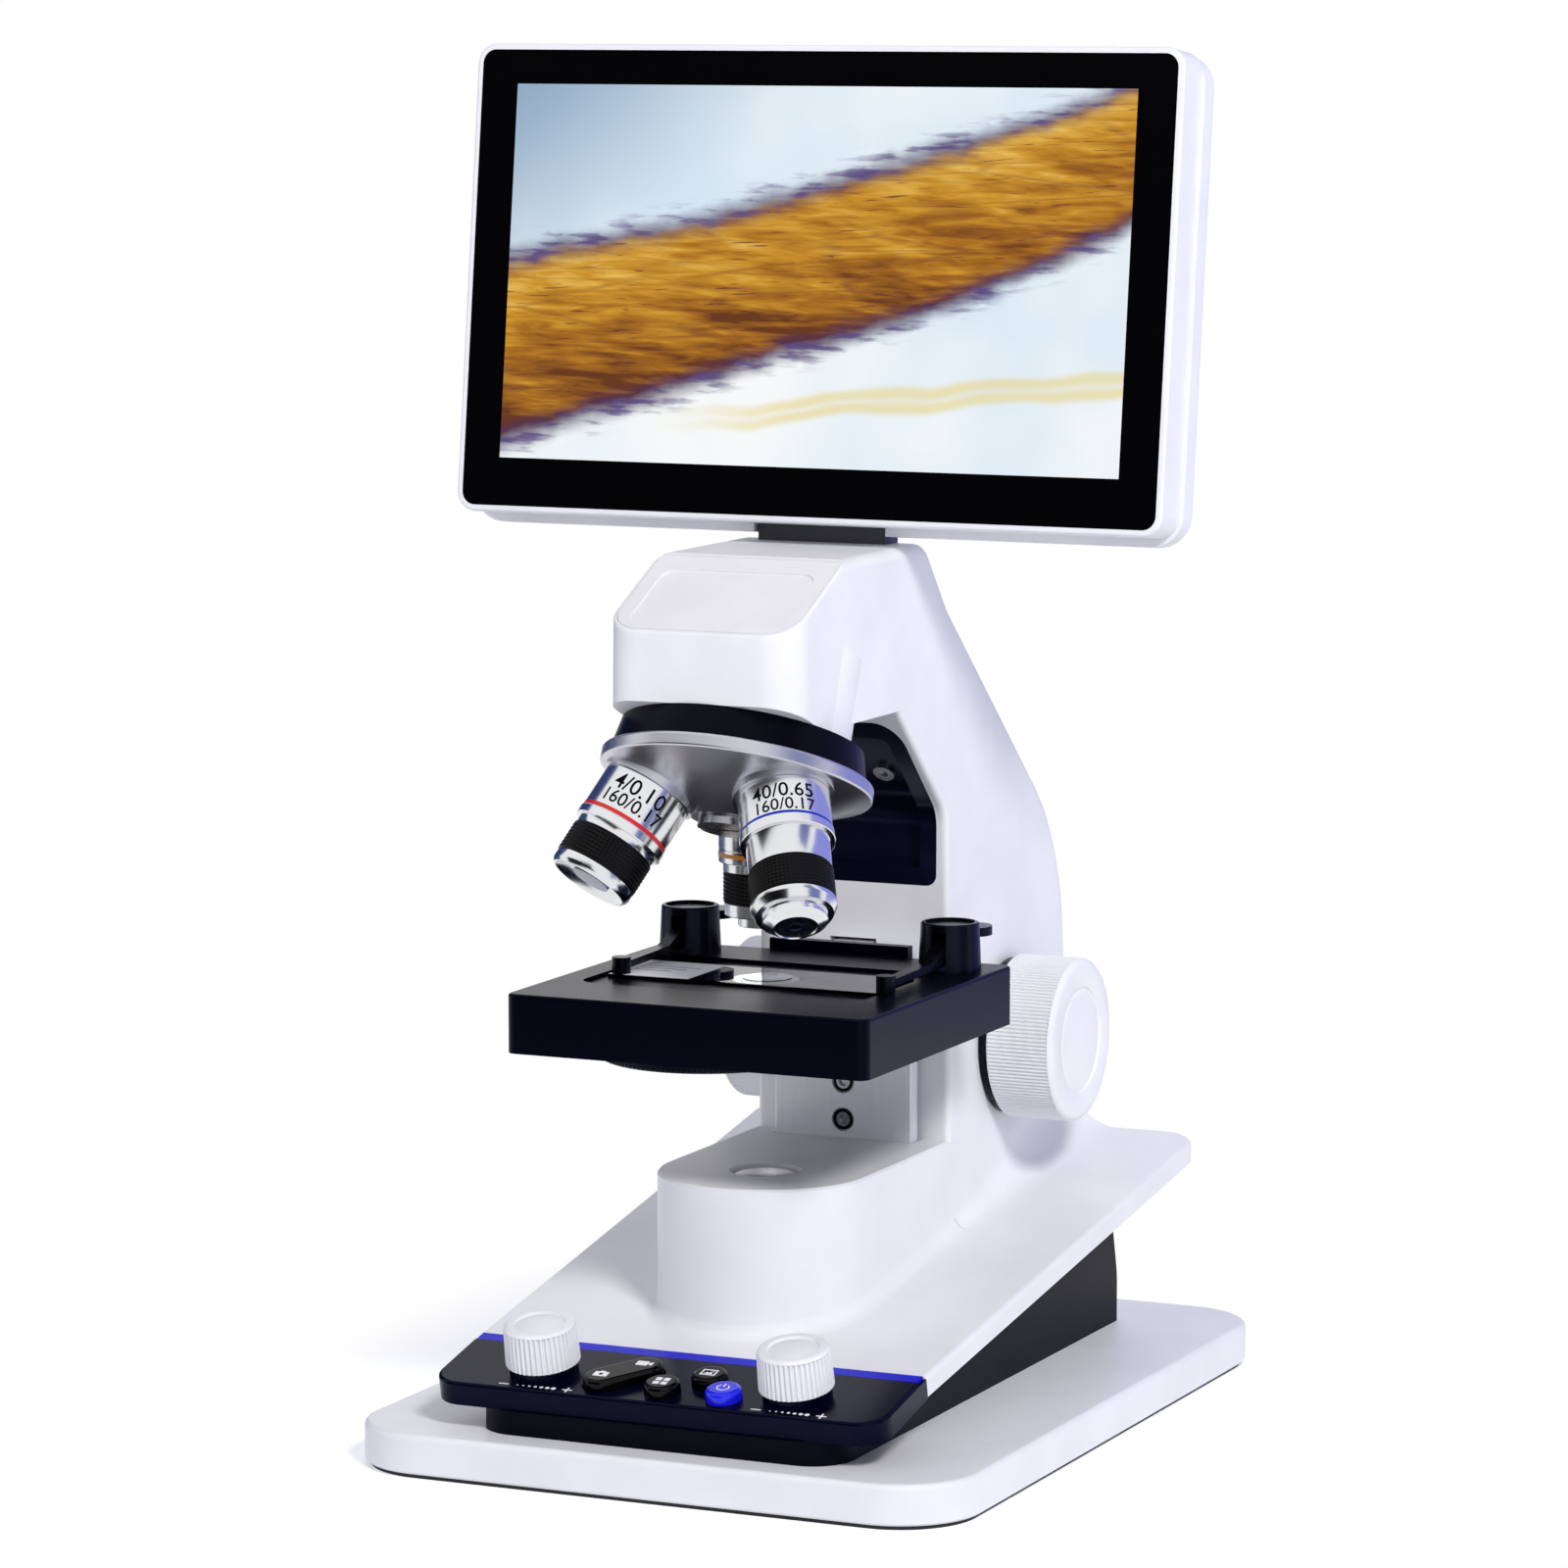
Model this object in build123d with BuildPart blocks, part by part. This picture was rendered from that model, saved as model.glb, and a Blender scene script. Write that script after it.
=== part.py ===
from build123d import *
import os
from math import acos, atan2, cos, pi, radians, sin, sqrt, tan

# LCD digital microscope, in millimetres.
# The origin is the centre of the base's underside, +X to the right, +Y to the back, +Z up.
# The screen, the head and the control panel face -Y.

os.makedirs("parts", exist_ok=True)

# ---------------------------------------------------------------- clearances
FIT = 0.15          # loose fit of a piece in its seat
RUN = 0.05          # radial running clearance of a shaft
AIR = 0.3           # air between faces that pass each other
STACK = 0.1         # gap between stacked pieces that turn on each other

# ---------------------------------------------------------------- base and riser
BASE_WIDTH = 170.6
BASE_LENGTH = 230.0
BASE_TOP = 11.65
BASE_CORNER = 21.9
BASE_EDGE = 1.6
PAD_THICK = 1.2
PAD_INSET = 1.6
RISER_HALF = 51.0
RISER_FRONT = -105.0
RISER_REAR = 90.3
RISER_LEAN = 0.25
RISER_WALL = 3.0
RISER_CORNER = 11.0
RISER_REAR_CORNER = 4.0
RISER_BOSS_R = 5.4
RISER_BOSS_HEIGHT = 5.5
RISER_BOSS_X = 44.0
RISER_BOSS_FRONT_Y = -90.0
RISER_BOSS_REAR_Y = 76.0

# ---------------------------------------------------------------- screws (M3)
SCREW_R = 1.5
SCREW_HOLE_R = 1.7
SCREW_PILOT_R = 1.55
SCREW_HEAD_R = 2.9
SCREW_HEAD_HEIGHT = 1.3
SCREW_LENGTH = 8.0
SCREW_SOCKET_R = 1.3
SCREW_SOCKET_DEPTH = 0.8

# ---------------------------------------------------------------- deck
DECK_FRONT = -75.8
DECK_REAR = 111.5
DECK_FRONT_Z = 30.5
DECK_SLOPE = 0.1654
DECK_THICK = 5.6
DECK_HALF_FRONT = 63.1
DECK_HALF_REAR = 66.5
DECK_CORNER = 10.0
DECK_EDGE = 1.4

# ---------------------------------------------------------------- arm and head
OPTICAL_Y = -35.5
WALL = 3.2
HOUSING_TOP = 71.5
HOUSING_R = 28.2               # also half the width of the arm's lower part
ARM_HALF_HIGH = 26.5
ARM_FRONT_Y = 21.2
ARCH_LOW_Z = 160.0
ARCH_RADIUS = 10.0
ARCH_HEAD_Y = -11.0
HEAD_BOTTOM = 190.8
HEAD_FRONT = -77.5
HEAD_TOP = 233.2
FACET_RISE = 16.8              # height of the sloping face at the front of the head
HEAD_FRONT_TOP = HEAD_TOP - FACET_RISE
HEAD_FOLD_Y = -42.8
HEAD_BACK_Y = 9.2
HEAD_CORNER = 9.5
BACK_STEP = (24.2, 214.8)
BACK_KNEE = (103.6, 144.4)
BACK_KNEE_RADIUS = 62.0
BACK_STEP_RADIUS = 14.0
BACK_TOP_RADIUS = 8.0
OUTLINE_EDGE = 3.2
ARM_FRONT_EDGE = 1.6
FLARE_FRONT = 4.0               # radius of the concave flare round the lamp housing
ARC_NEAR = 1 - sqrt(0.5)         # a quarter circle's middle, as a share of its radius
FLARE_REAR = 15.0               # the flare grows to this at the back
FLARE_START_Y = 25.0
BACK_FOOT_Y = 109.4

# ---------------------------------------------------------------- turret
TILT = 22.5                     # tilt of the turret's axis from vertical, degrees
APEX_Z = 219.0                  # where the three objective axes cross the turret's axis
RIM_DROP = 43.3                 # from the apex down the axis to the top of the disc
RIM_R = 35.4
RIM_THICK = 3.6
DISC_CONE_R = 10.0
RING_HEIGHT = 8.3
RING_R = 33.4
RING_TOP_R = 31.6
HEAD_BOSS_R = 27.5
HEAD_BOSS_LENGTH = 24.0
STUD_R = 4.0
STUD_HEAD_R = 8.0
STUD_HEAD_THICK = 2.2
STUD_DEPTH = 6.0
SEAT_L = 57.6                   # from the apex to the shoulder of each objective
SEAT_R = 13.0
SEAT_HOLE_R = 10.0
LIGHT_BORE_R = 8.0
THREAD_LENGTH = 6.0
GRIP_SINK = 1.4                 # how deep a grip sleeve is let into the barrel

# ---------------------------------------------------------------- stage
STAGE_HALF = 50.6
STAGE_FRONT = -85.7
STAGE_REAR = 11.5
STAGE_BOTTOM = 106.7
STAGE_TOP = 122.2
STAGE_CORNER = 3.0
STAGE_EDGE = 0.8
STAGE_WALL = 3.0
STAGE_DECK = 3.4
POCKET_X = (-42.5, 37.5)
POCKET_Y = (-61.0, -9.5)
POCKET_CORNER = 6.0
SLIDE_LENGTH = 76.2
SLIDE_WIDTH = 25.4
SLIDE_THICK = 1.0
SLIDE_X = -2.5
SLIDE_Y = -33.0
APERTURE_R = 9.0
APERTURE_BOSS_R = 13.0
IRIS_X = -9.1
IRIS_Y = -52.7
IRIS_R = 27.3
IRIS_THICK = 2.7
IRIS_PIVOT_R = 2.5
IRIS_PIVOT_HEAD_R = 4.6
IRIS_BOSS_R = 7.5
IRIS_HOLES = (1.0, 2.0, 3.0, 4.0, 5.0)
CLIP_X = 37.7
CLIP_Y = -1.2
CLIP_POST_FOOT_R = 8.3
CLIP_POST_HEIGHT = 12.6
CLIP_WINDOW_WIDTH = 4.0
CLIP_PIN_R = 1.25
CLIP_PIN_Z = 129.2
CLIP_LEVER_WIDTH = 3.4
CLIP_FOOT_Y = -43.5
CLIP_FOOT_R = 2.5
CLIP_FOOT_TOP = 126.6
CLIP_PADDLE_Y = 13.2
CLIP_PADDLE_R = 5.6

# ---------------------------------------------------------------- focus drive
CARRIER_HALF = 20.2
CARRIER_THICK = 3.1
CARRIER_BOTTOM = 110.0
CARRIER_TOP = 125.0
PLATE_HALF = 20.05
PLATE_THICK = 4.4
PLATE_BOTTOM = 56.0
PLATE_TOP = 124.0
HEX_SCREW_Z = (76.5, 86.8)
TRUCK_HALF = 5.6
TRUCK_FLANGE_HALF = 12.0
RAIL_FRONT = 37.0
RAIL_THICK = 6.0
RAIL_BOTTOM = 50.0
RAIL_TOP = 128.0
FOCUS_Y = 62.3
FOCUS_Z = 94.2
GEAR_MODULE = 1.0
PINION_TEETH = 12
PRESSURE_ANGLE = radians(20)
BACKLASH = 0.3
RACK_WIDTH = 8.0
RACK_BOTTOM = 84.0
RACK_TOP = 128.0
SHAFT_R = 3.5
BUSH_R = 6.0
FRICTION_RING_R = 21.2
FRICTION_RING_X = 28.45
FRICTION_RING_THICK = 1.6
FOCUS_KNOB_R = 22.3
FOCUS_KNOB_LENGTH = 19.4
FOCUS_KNOB_EDGE = 1.6

# ---------------------------------------------------------------- control panel
PANEL_SLOPE = radians(12.4)
PANEL_REAR_Z = 30.6
PANEL_LENGTH = 30.6
PANEL_THICK = 6.2
PANEL_SKIN = 2.6
PANEL_CORNER = 8.0
PANEL_EDGE = 0.9
PANEL_CAVITY_X = 27.0
STRIPE_WIDTH = 4.0
STRIPE_THICK = 0.8
PANEL_KNOB_X = 35.6
PANEL_KNOB_V = -18.4
PANEL_KNOB_R = 9.45
PANEL_KNOB_HEIGHT = 11.0
PANEL_COLLAR_R = 8.9
PANEL_COLLAR_HEIGHT = 2.2
ENCODER_SIZE = 13.0
ENCODER_HEIGHT = 5.4
KNOB_SHAFT_R = 3.0
BUTTON_R = 4.75
BUTTON_RISE = 3.0
BUTTON_EDGE = 1.3
BUTTON_FLANGE = 0.4
BUTTON_FLANGE_THICK = 0.9
BUTTON_BOARD_DROP = 6.6         # from the panel's face down to the switch board
BOARD_THICK = 1.6
MENU_AT = (0.4, -23.6)
POWER_AT = (17.6, -23.7)
GALLERY_AT = (10.3, -16.1)
ROCKER_AT = (-12.7, -18.9)
ROCKER_SPAN = 11.9              # between the centres of the rocker's two round ends
ROCKER_TURN = 45.0

# ---------------------------------------------------------------- monitor
HINGE_Y = 4.4
HINGE_RISE = 11.8               # from the head's top to the hinge
HINGE_Z = HEAD_TOP + HINGE_RISE
SCREEN_TILT = radians(6.96)
SCREEN_UP = 56.36               # from the hinge up the screen to the middle of the picture
SCREEN_FORWARD = 17.46          # from the hinge forward to the front glass
PICTURE_WIDTH = 177.1
PICTURE_HEIGHT = 99.6
GLASS_BORDER_SIDE = 10.6        # black border beside the picture
GLASS_BORDER_TOP = 10.95
GLASS_WIDTH = PICTURE_WIDTH + 2 * GLASS_BORDER_SIDE
GLASS_HEIGHT = PICTURE_HEIGHT + 2 * GLASS_BORDER_TOP
GLASS_DROP = 1.87               # how far the glass's centre is below the picture's
GLASS_THICK = 1.1
GLASS_CORNER = 3.7
BEZEL_RIM = 1.7
BEZEL_DEPTH = 13.0
BEZEL_LEDGE = 3.0
BEZEL_EDGE = 0.8
SHELL_EXTRA_SIDE = 1.0
SHELL_EXTRA_BOTTOM = 2.2
SHELL_CORNER = 8.6
SHELL_DEPTH = 22.5
SHELL_WALL = 2.2
SHELL_EDGE = 4.0
LCD_BORDER_SIDE = 3.45          # metal frame of the panel beside the picture
LCD_BORDER_TOP = 3.2
LCD_WIDTH = PICTURE_WIDTH + 2 * LCD_BORDER_SIDE
LCD_HEIGHT = PICTURE_HEIGHT + 2 * LCD_BORDER_TOP
LCD_THICK = 5.0
DISPLAY_BOARD_WIDTH = 110.0
DISPLAY_BOARD_HEIGHT = 60.0
DISPLAY_BOARD_DEPTH = 9.0
MONITOR_SCREW_INSET = 5.25      # from the bezel's side to the screws
MONITOR_SCREW_V = (-46.0, 44.0)
POST_R = 3.2
NECK_HALF = 18.3
NECK_THICK = 8.2
NECK_SINK = 6.2                 # how far the neck's foot hangs below the head's top
NECK_BOTTOM = HEAD_TOP - NECK_SINK
HINGE_PIN_R = 2.5
CHEEK_WIDTH = 8.0
BAY_GAP = 0.6
VENT_COUNT = 9
VENT_PITCH = 6.0
VENT_LENGTH = 44.0
VENT_WIDTH = 2.0

# ---------------------------------------------------------------- worked-out places
OVER = 400.0                    # long enough to cut right across the whole model


def deck_top(y):
    return DECK_FRONT_Z + DECK_SLOPE * (y - DECK_FRONT)


def deck_under(y):
    return deck_top(y) - DECK_THICK


def panel_under(y):
    drop = PANEL_THICK / cos(PANEL_SLOPE)
    return PANEL_REAR_Z + tan(PANEL_SLOPE) * (y - DECK_FRONT) - drop


def arm_half(z):
    """Half width of the arm and the head, which narrow a little upwards."""
    share = (z - HOUSING_TOP) / (HEAD_TOP - HOUSING_TOP)
    return HOUSING_R + (ARM_HALF_HIGH - HOUSING_R) * share


TILT_SIN = sin(radians(TILT))
TILT_COS = cos(radians(TILT))
APEX = Vector(0, OPTICAL_Y, APEX_Z)
TURRET_DOWN = Vector(0, -TILT_SIN, -TILT_COS)
RIM_CENTRE = APEX + TURRET_DOWN * RIM_DROP
RING_CENTRE = RIM_CENTRE - TURRET_DOWN * RING_HEIGHT
RIM_PLANE = Plane(origin=RIM_CENTRE, x_dir=(1, 0, 0), z_dir=TURRET_DOWN)
RING_PLANE = Plane(origin=RING_CENTRE, x_dir=(1, 0, 0), z_dir=TURRET_DOWN)
TURRET_AXIS = Axis(RIM_CENTRE, TURRET_DOWN)

PANEL = Plane(
    origin=(0, DECK_FRONT, PANEL_REAR_Z),
    x_dir=(1, 0, 0),
    z_dir=(0, -sin(PANEL_SLOPE), cos(PANEL_SLOPE)),
)
PANEL_UNDER = PANEL.offset(-PANEL_THICK)
PANEL_CEILING = PANEL.offset(-PANEL_SKIN)

HINGE = Vector(0, HINGE_Y, HINGE_Z)
SCREEN_UPWARD = Vector(0, sin(SCREEN_TILT), cos(SCREEN_TILT))
SCREEN_OUT = Vector(0, -cos(SCREEN_TILT), sin(SCREEN_TILT))
SCREEN = Plane(
    origin=HINGE + SCREEN_UPWARD * SCREEN_UP + SCREEN_OUT * SCREEN_FORWARD,
    x_dir=(1, 0, 0),
    z_dir=SCREEN_OUT,
)

facet_rise = HEAD_TOP - HEAD_FRONT_TOP
facet_run = HEAD_FOLD_Y - HEAD_FRONT
FACET_LENGTH = sqrt(facet_rise**2 + facet_run**2)
FACET = Plane(
    origin=(0, HEAD_FOLD_Y, HEAD_TOP),
    x_dir=(1, 0, 0),
    z_dir=(0, -facet_rise / FACET_LENGTH, facet_run / FACET_LENGTH),
)

back_run = BACK_FOOT_Y - BACK_KNEE[0]
back_rise = BACK_KNEE[1] - deck_top(BACK_FOOT_Y)
REAR_COVER_Z = 92.0
rear_cover_y = BACK_FOOT_Y - back_run * (REAR_COVER_Z - deck_top(BACK_FOOT_Y)) / back_rise
BACK = Plane(origin=(0, rear_cover_y, REAR_COVER_Z), x_dir=(-1, 0, 0), z_dir=(0, back_rise, back_run))

knee_rise = BACK_STEP[1] - BACK_KNEE[1]
knee_run = BACK_KNEE[0] - BACK_STEP[0]
PORT_Y = 62.0
PORT_Z = BACK_STEP[1] - knee_rise * (PORT_Y - BACK_STEP[0]) / knee_run
SLOPE = Plane(origin=(0, PORT_Y, PORT_Z), x_dir=(-1, 0, 0), z_dir=(0, knee_rise, knee_run))

PLATE_FRONT = STAGE_REAR + CARRIER_THICK
PLATE_REAR = PLATE_FRONT + PLATE_THICK
PITCH_R = GEAR_MODULE * PINION_TEETH / 2
RACK_PITCH_Y = FOCUS_Y - PITCH_R


def ring_under_z(y):
    """Height of the ring's upper plane, which is the head's slanted underside."""
    return RING_CENTRE.Z - (y - RING_CENTRE.Y) * TILT_SIN / TILT_COS


UNDER_STEP_Y = RING_CENTRE.Y - (HEAD_BOTTOM - RING_CENTRE.Z) * TILT_COS / TILT_SIN


def nearest(vertices, y, z):
    return vertices.sort_by_distance(Vector(y, z))[0]


# ---------------------------------------------------------------- base
BASE_SCREWS = [
    (x, y)
    for x in (-RISER_BOSS_X, RISER_BOSS_X)
    for y in (RISER_BOSS_FRONT_Y, RISER_BOSS_REAR_Y)
]
BASE_SCREW_SEAT = PAD_THICK + SCREW_HEAD_HEIGHT + STACK
BOARD_X = 34.0
BOARD_Y = (-66.0, 4.0)
BOARD_Z = 16.6
STANDOFF_R = 3.0

with BuildPart() as base_pad:
    with BuildSketch():
        RectangleRounded(BASE_WIDTH - 2 * PAD_INSET, BASE_LENGTH - 2 * PAD_INSET, BASE_CORNER - PAD_INSET)
    extrude(amount=PAD_THICK)

with BuildPart() as base_plate:
    with BuildSketch(Plane.XY.offset(PAD_THICK)):
        RectangleRounded(BASE_WIDTH, BASE_LENGTH, BASE_CORNER)
    extrude(amount=BASE_TOP - PAD_THICK)
    fillet(base_plate.faces().sort_by(Axis.Z)[-1].edges(), BASE_EDGE)
    chamfer(base_plate.faces().sort_by(Axis.Z)[0].edges(), BASE_EDGE / 3)
    with BuildSketch(Plane.XY.offset(BASE_TOP)):
        with Locations(*[(x, y) for x in (-BOARD_X, BOARD_X) for y in (BOARD_Y[0] + 5, BOARD_Y[1] - 5)]):
            Circle(STANDOFF_R)
    extrude(amount=BOARD_Z - BASE_TOP)
    with BuildSketch(Plane.XY):
        with Locations(*BASE_SCREWS):
            Circle(SCREW_HOLE_R)
    extrude(amount=BASE_TOP, mode=Mode.SUBTRACT)
    with BuildSketch(Plane.XY):
        with Locations(*BASE_SCREWS):
            Circle(SCREW_HEAD_R + AIR)
    extrude(amount=BASE_SCREW_SEAT, mode=Mode.SUBTRACT)

ACROSS = Plane.YZ.offset(-OVER / 2)     # side views drawn here are extruded right across
ALONG = Plane.XZ.offset(-OVER / 2)      # front views drawn here are extruded from back to front
BOARD_CHIPS = (
    (-12, -30, 16, 16, 2),
    (14, -34, 12, 10, 1.6),
    (0, -58, 44, 6, 4),
    (-24, -6, 10, 8, 5),
    (22, -12, 14, 8, 3),
)
BATTERY_CELL_R = 9.2
BATTERY_CELL_Y = (42.0, 60.6)
BATTERY_LENGTH = 74.0
HOUSING_REAR = ARM_FRONT_Y + WALL
HOUSING_EDGE = 0.6
FACET_EDGE = 0.8
HOLLOW_REAR = 50.0

RISER_STEP_Y = DECK_FRONT + PANEL_THICK * sin(PANEL_SLOPE) + STACK
riser_top_y = (deck_under(0) - BASE_TOP - RISER_REAR / RISER_LEAN) / (-1 / RISER_LEAN - DECK_SLOPE)
RISER_SIDE = (
    (RISER_FRONT, BASE_TOP),
    (RISER_REAR, BASE_TOP),
    (riser_top_y, deck_under(riser_top_y)),
    (RISER_STEP_Y, deck_under(RISER_STEP_Y)),
    (RISER_STEP_Y, panel_under(RISER_STEP_Y)),
    (RISER_FRONT, panel_under(RISER_FRONT)),
)
DECK_SIDE = (
    (DECK_FRONT, deck_top(DECK_FRONT)),
    (DECK_REAR, deck_top(DECK_REAR)),
    (DECK_REAR, deck_under(DECK_REAR)),
    (DECK_FRONT + DECK_THICK * tan(PANEL_SLOPE), deck_under(DECK_FRONT)),
)
BELOW_DECK = (
    (DECK_FRONT, deck_under(DECK_FRONT)),
    (DECK_REAR, deck_under(DECK_REAR)),
    (DECK_REAR, 0),
    (DECK_FRONT, 0),
)
BODY_SIDE = (
    (ARM_FRONT_Y, deck_top(ARM_FRONT_Y)),
    (ARM_FRONT_Y, ARCH_LOW_Z),
    (ARCH_HEAD_Y, HEAD_BOTTOM),
    (UNDER_STEP_Y, HEAD_BOTTOM),
    (HEAD_FRONT, ring_under_z(HEAD_FRONT)),
    (HEAD_FRONT, HEAD_FRONT_TOP),
    (HEAD_FOLD_Y, HEAD_TOP),
    (HEAD_BACK_Y, HEAD_TOP),
    BACK_STEP,
    BACK_KNEE,
    (BACK_FOOT_Y, deck_top(BACK_FOOT_Y)),
    (BACK_FOOT_Y, deck_under(BACK_FOOT_Y) + 1),
    (ARM_FRONT_Y, deck_under(ARM_FRONT_Y) + 1),
)


def side_profile(inset):
    """Side view of the arm and the head, moved in by the given wall."""
    Polygon(*BODY_SIDE, align=None)
    fillet(nearest(vertices(), *BACK_KNEE), BACK_KNEE_RADIUS)
    fillet(nearest(vertices(), *BACK_STEP), BACK_STEP_RADIUS)
    fillet(nearest(vertices(), HEAD_BACK_Y, HEAD_TOP), BACK_TOP_RADIUS)
    fillet(nearest(vertices(), ARM_FRONT_Y, ARCH_LOW_Z), ARCH_RADIUS)
    if inset:
        offset(amount=-inset, kind=Kind.INTERSECTION, mode=Mode.REPLACE)


def front_profile(inset):
    """Front view of the arm and the head: straight sides to the housing's top, then narrowing."""
    Polygon(
        (-HOUSING_R + inset, 0),
        (HOUSING_R - inset, 0),
        (HOUSING_R - inset, HOUSING_TOP),
        (arm_half(OVER) - inset, OVER),
        (-arm_half(OVER) + inset, OVER),
        (-HOUSING_R + inset, HOUSING_TOP),
        align=None,
    )


def at_side(edge):
    return abs(edge.center().X) > HOUSING_R / 2


def is_deck_rim(edge):
    """The deck's upper edges, except the one that meets the control panel."""
    middle = edge.center()
    return abs(middle.Z - deck_top(middle.Y)) < 0.1 and middle.Y > DECK_FRONT + 1


def is_housing_foot(edge):
    """Where the lamp housing meets the deck's upper face."""
    on_deck = all(abs(v.Z - deck_top(v.Y)) < 0.1 for v in edge.vertices())
    inside = all(abs(v.X) < HOUSING_R + 0.1 for v in edge.vertices())
    return on_deck and inside and edge.center().Y < HOUSING_REAR - 1


def is_head_corner(edge):
    return at_side(edge) and abs(edge.center().Y - HEAD_FRONT) < 0.1


def is_back_outline(edge):
    """Side edges of the head's top and of the arm's back."""
    middle = edge.center()
    on_top = middle.Z > HEAD_TOP - 0.1
    on_back = middle.Y > HEAD_BACK_Y - 5 and middle.Z > HEAD_BOTTOM
    below = middle.Y > ARM_FRONT_Y + 20 and middle.Z > HOUSING_TOP + 1
    return at_side(edge) and (on_top or on_back or below)


def is_facet_rim(edge):
    """The sloping facet's side and front edges, rounded corners included."""
    ends = edge.vertices()
    on_facet = all(abs(FACET.to_local_coords(Vector(v.X, v.Y, v.Z)).Z) < 0.02 for v in ends)
    return on_facet and edge.center().Z < HEAD_TOP - 0.5


def is_arm_front(edge):
    """The arm's front side edges, from the deck to the head."""
    middle = edge.center()
    return at_side(edge) and middle.Y < ARM_FRONT_Y + 1 and middle.Z < HEAD_BOTTOM - 2


LENS_R = 9.4
LENS_SEAT_DEPTH = 2.2
LENS_LEDGE = 1.2
LENS_RIM = 0.8
LENS_DOME = 1.6
LAMP_BOARD_Z = 60.0
LAMP_POST_X = 10.0
LAMP_POST_R = 2.8
LED_SIZE = 5.0
LED_HEIGHT = 1.0
PLATE_SIDE_GAP = 0.6
COVER_THICK = 2.2
COVER_LEDGE = 3.0
FACET_COVER_HALF = 25.6
FACET_COVER_INSET = 1.2
FACET_COVER_CORNER = 8.6
FACET_PANEL = (43.0, 26.5, 4.0, -21.25)     # width, length, corner radius, middle
FACET_PANEL_DEPTH = 0.5
REAR_COVER = (40.0, 48.0, 5.0)              # width, height, corner radius
REAR_SCREWS = [(x, v) for x in (-15.0, 15.0) for v in (-19.0, 19.0)]
REAR_VENT_V = (-14.0, -7.0, 0.0, 7.0, 14.0)
REAR_VENT_LENGTH = 22.0
SCREW_BOSS_R = 3.5
SCREW_BOSS_LENGTH = 9.0
SCREW_SINK = SCREW_HEAD_HEIGHT + STACK
PORT_WIDTH = 9.0
PORT_HEIGHT = 3.4
PORT_SHELL = 0.4
PORT_DEPTH = 8.0
PORT_STAND = 0.8
INSERT_TOP = (24.4, 186.9)                  # half width and height of the insert's upper corners
INSERT_FOOT = (24.2, 140.2)
INSERT_TOP_CORNER = 7.0
INSERT_FOOT_CORNER = 3.0
INSERT_RIM = 2.2
INSERT_DEPTH = 6.5
INSERT_WALL = 1.6
INSERT_RECESS = 4.5
INSERT_SCREW = (11.6, 12.6)
INSERT_BOSS_LENGTH = 9.0
ARCH_REACH = 60.0
CAMERA_TUBE_R = 12.0
CAMERA_TUBE_BORE = 10.2
CAMERA_TUBE_HEIGHT = 28.0
CAMERA_BOARD = 30.0
SENSOR_SIZE = 9.0
SENSOR_HEIGHT = 1.2
RIM_EDGE = 0.7
SEAT_RISE = 7.6
SEAT_HOLE_LENGTH = 17.0
RING_GAP = 0.15
OBJECTIVE_BORE = 7.5
STUD_SLOT = 1.2
GRIP_EDGE = 0.4
FRONT_LENS_THICK = 0.8
# turn about the turret's axis, steps (from the apex, radius), grip (start, end, radius),
# bore radius of the last cell, radius of the front lens and how far it is let in
OBJECTIVES = {
    "10x": {
        "turn": 0,
        "steps": ((57.6, 12.2), (65.9, 12.2), (65.9, 11.0), (76.7, 11.0), (76.7, 10.6), (80.0, 10.6),
                  (80.0, 7.0), (82.8, 7.0)),
        "grip": (68.2, 76.7, 11.0),
        "cell": 5.2,
        "cell_start": 79.0,
        "lens": 3.2,
        "lens_sink": 0.6,
    },
    "40x": {
        "turn": 120,
        "steps": ((57.6, 11.9), (68.8, 11.9), (68.8, 12.2), (71.3, 12.2), (71.3, 10.7), (79.6, 10.7),
                  (79.6, 11.0), (90.1, 11.0), (92.0, 10.0), (92.0, 8.4), (94.1, 8.3), (95.6, 5.6)),
        "grip": (79.6, 88.8, 11.0),
        "cell": 5.6,
        "cell_start": 89.0,
        "lens": 1.6,
        "lens_sink": 0.3,
    },
    "4x": {
        "turn": -120,
        "steps": ((57.6, 12.1), (69.9, 12.1), (69.9, 12.4), (72.4, 12.4), (72.4, 11.1), (74.4, 11.1),
                  (74.4, 11.5), (83.0, 11.5), (83.0, 11.2), (85.2, 11.2), (86.3, 10.4)),
        "grip": (74.4, 83.0, 11.5),
        "cell": 6.6,
        "cell_start": 82.0,
        "lens": 5.2,
        "lens_sink": 0.8,
    },
}

arch_steepness = (HEAD_BOTTOM - ARCH_LOW_Z) / (ARM_FRONT_Y - ARCH_HEAD_Y)
ARCH_SLOPE_Z = ARCH_LOW_Z + (ARM_FRONT_Y - INSERT_SCREW[1]) * arch_steepness
ARCH_SLOPE = Plane(
    origin=(INSERT_SCREW[0], INSERT_SCREW[1], ARCH_SLOPE_Z),
    x_dir=(1, 0, 0),
    z_dir=(0, ARCH_LOW_Z - HEAD_BOTTOM, ARCH_HEAD_Y - ARM_FRONT_Y),
)
LENS_BASE_Z = HOUSING_TOP - LENS_SEAT_DEPTH
DOME_R = (LENS_R**2 + LENS_DOME**2) / (2 * LENS_DOME)
DISC_DEPTH = RIM_THICK + (RIM_R - DISC_CONE_R) * TILT_SIN / TILT_COS


def facet_outline(inset):
    """Outline of the facet's cover, moved in by the given distance."""
    half = FACET_COVER_HALF - inset
    back = -FACET_COVER_INSET - inset
    front = -FACET_LENGTH + FACET_COVER_INSET + inset
    Polygon((-half, front), (half, front), (half, back), (-half, back), align=None)
    fillet(vertices().group_by(Axis.Y)[0], FACET_COVER_CORNER - inset)


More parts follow.
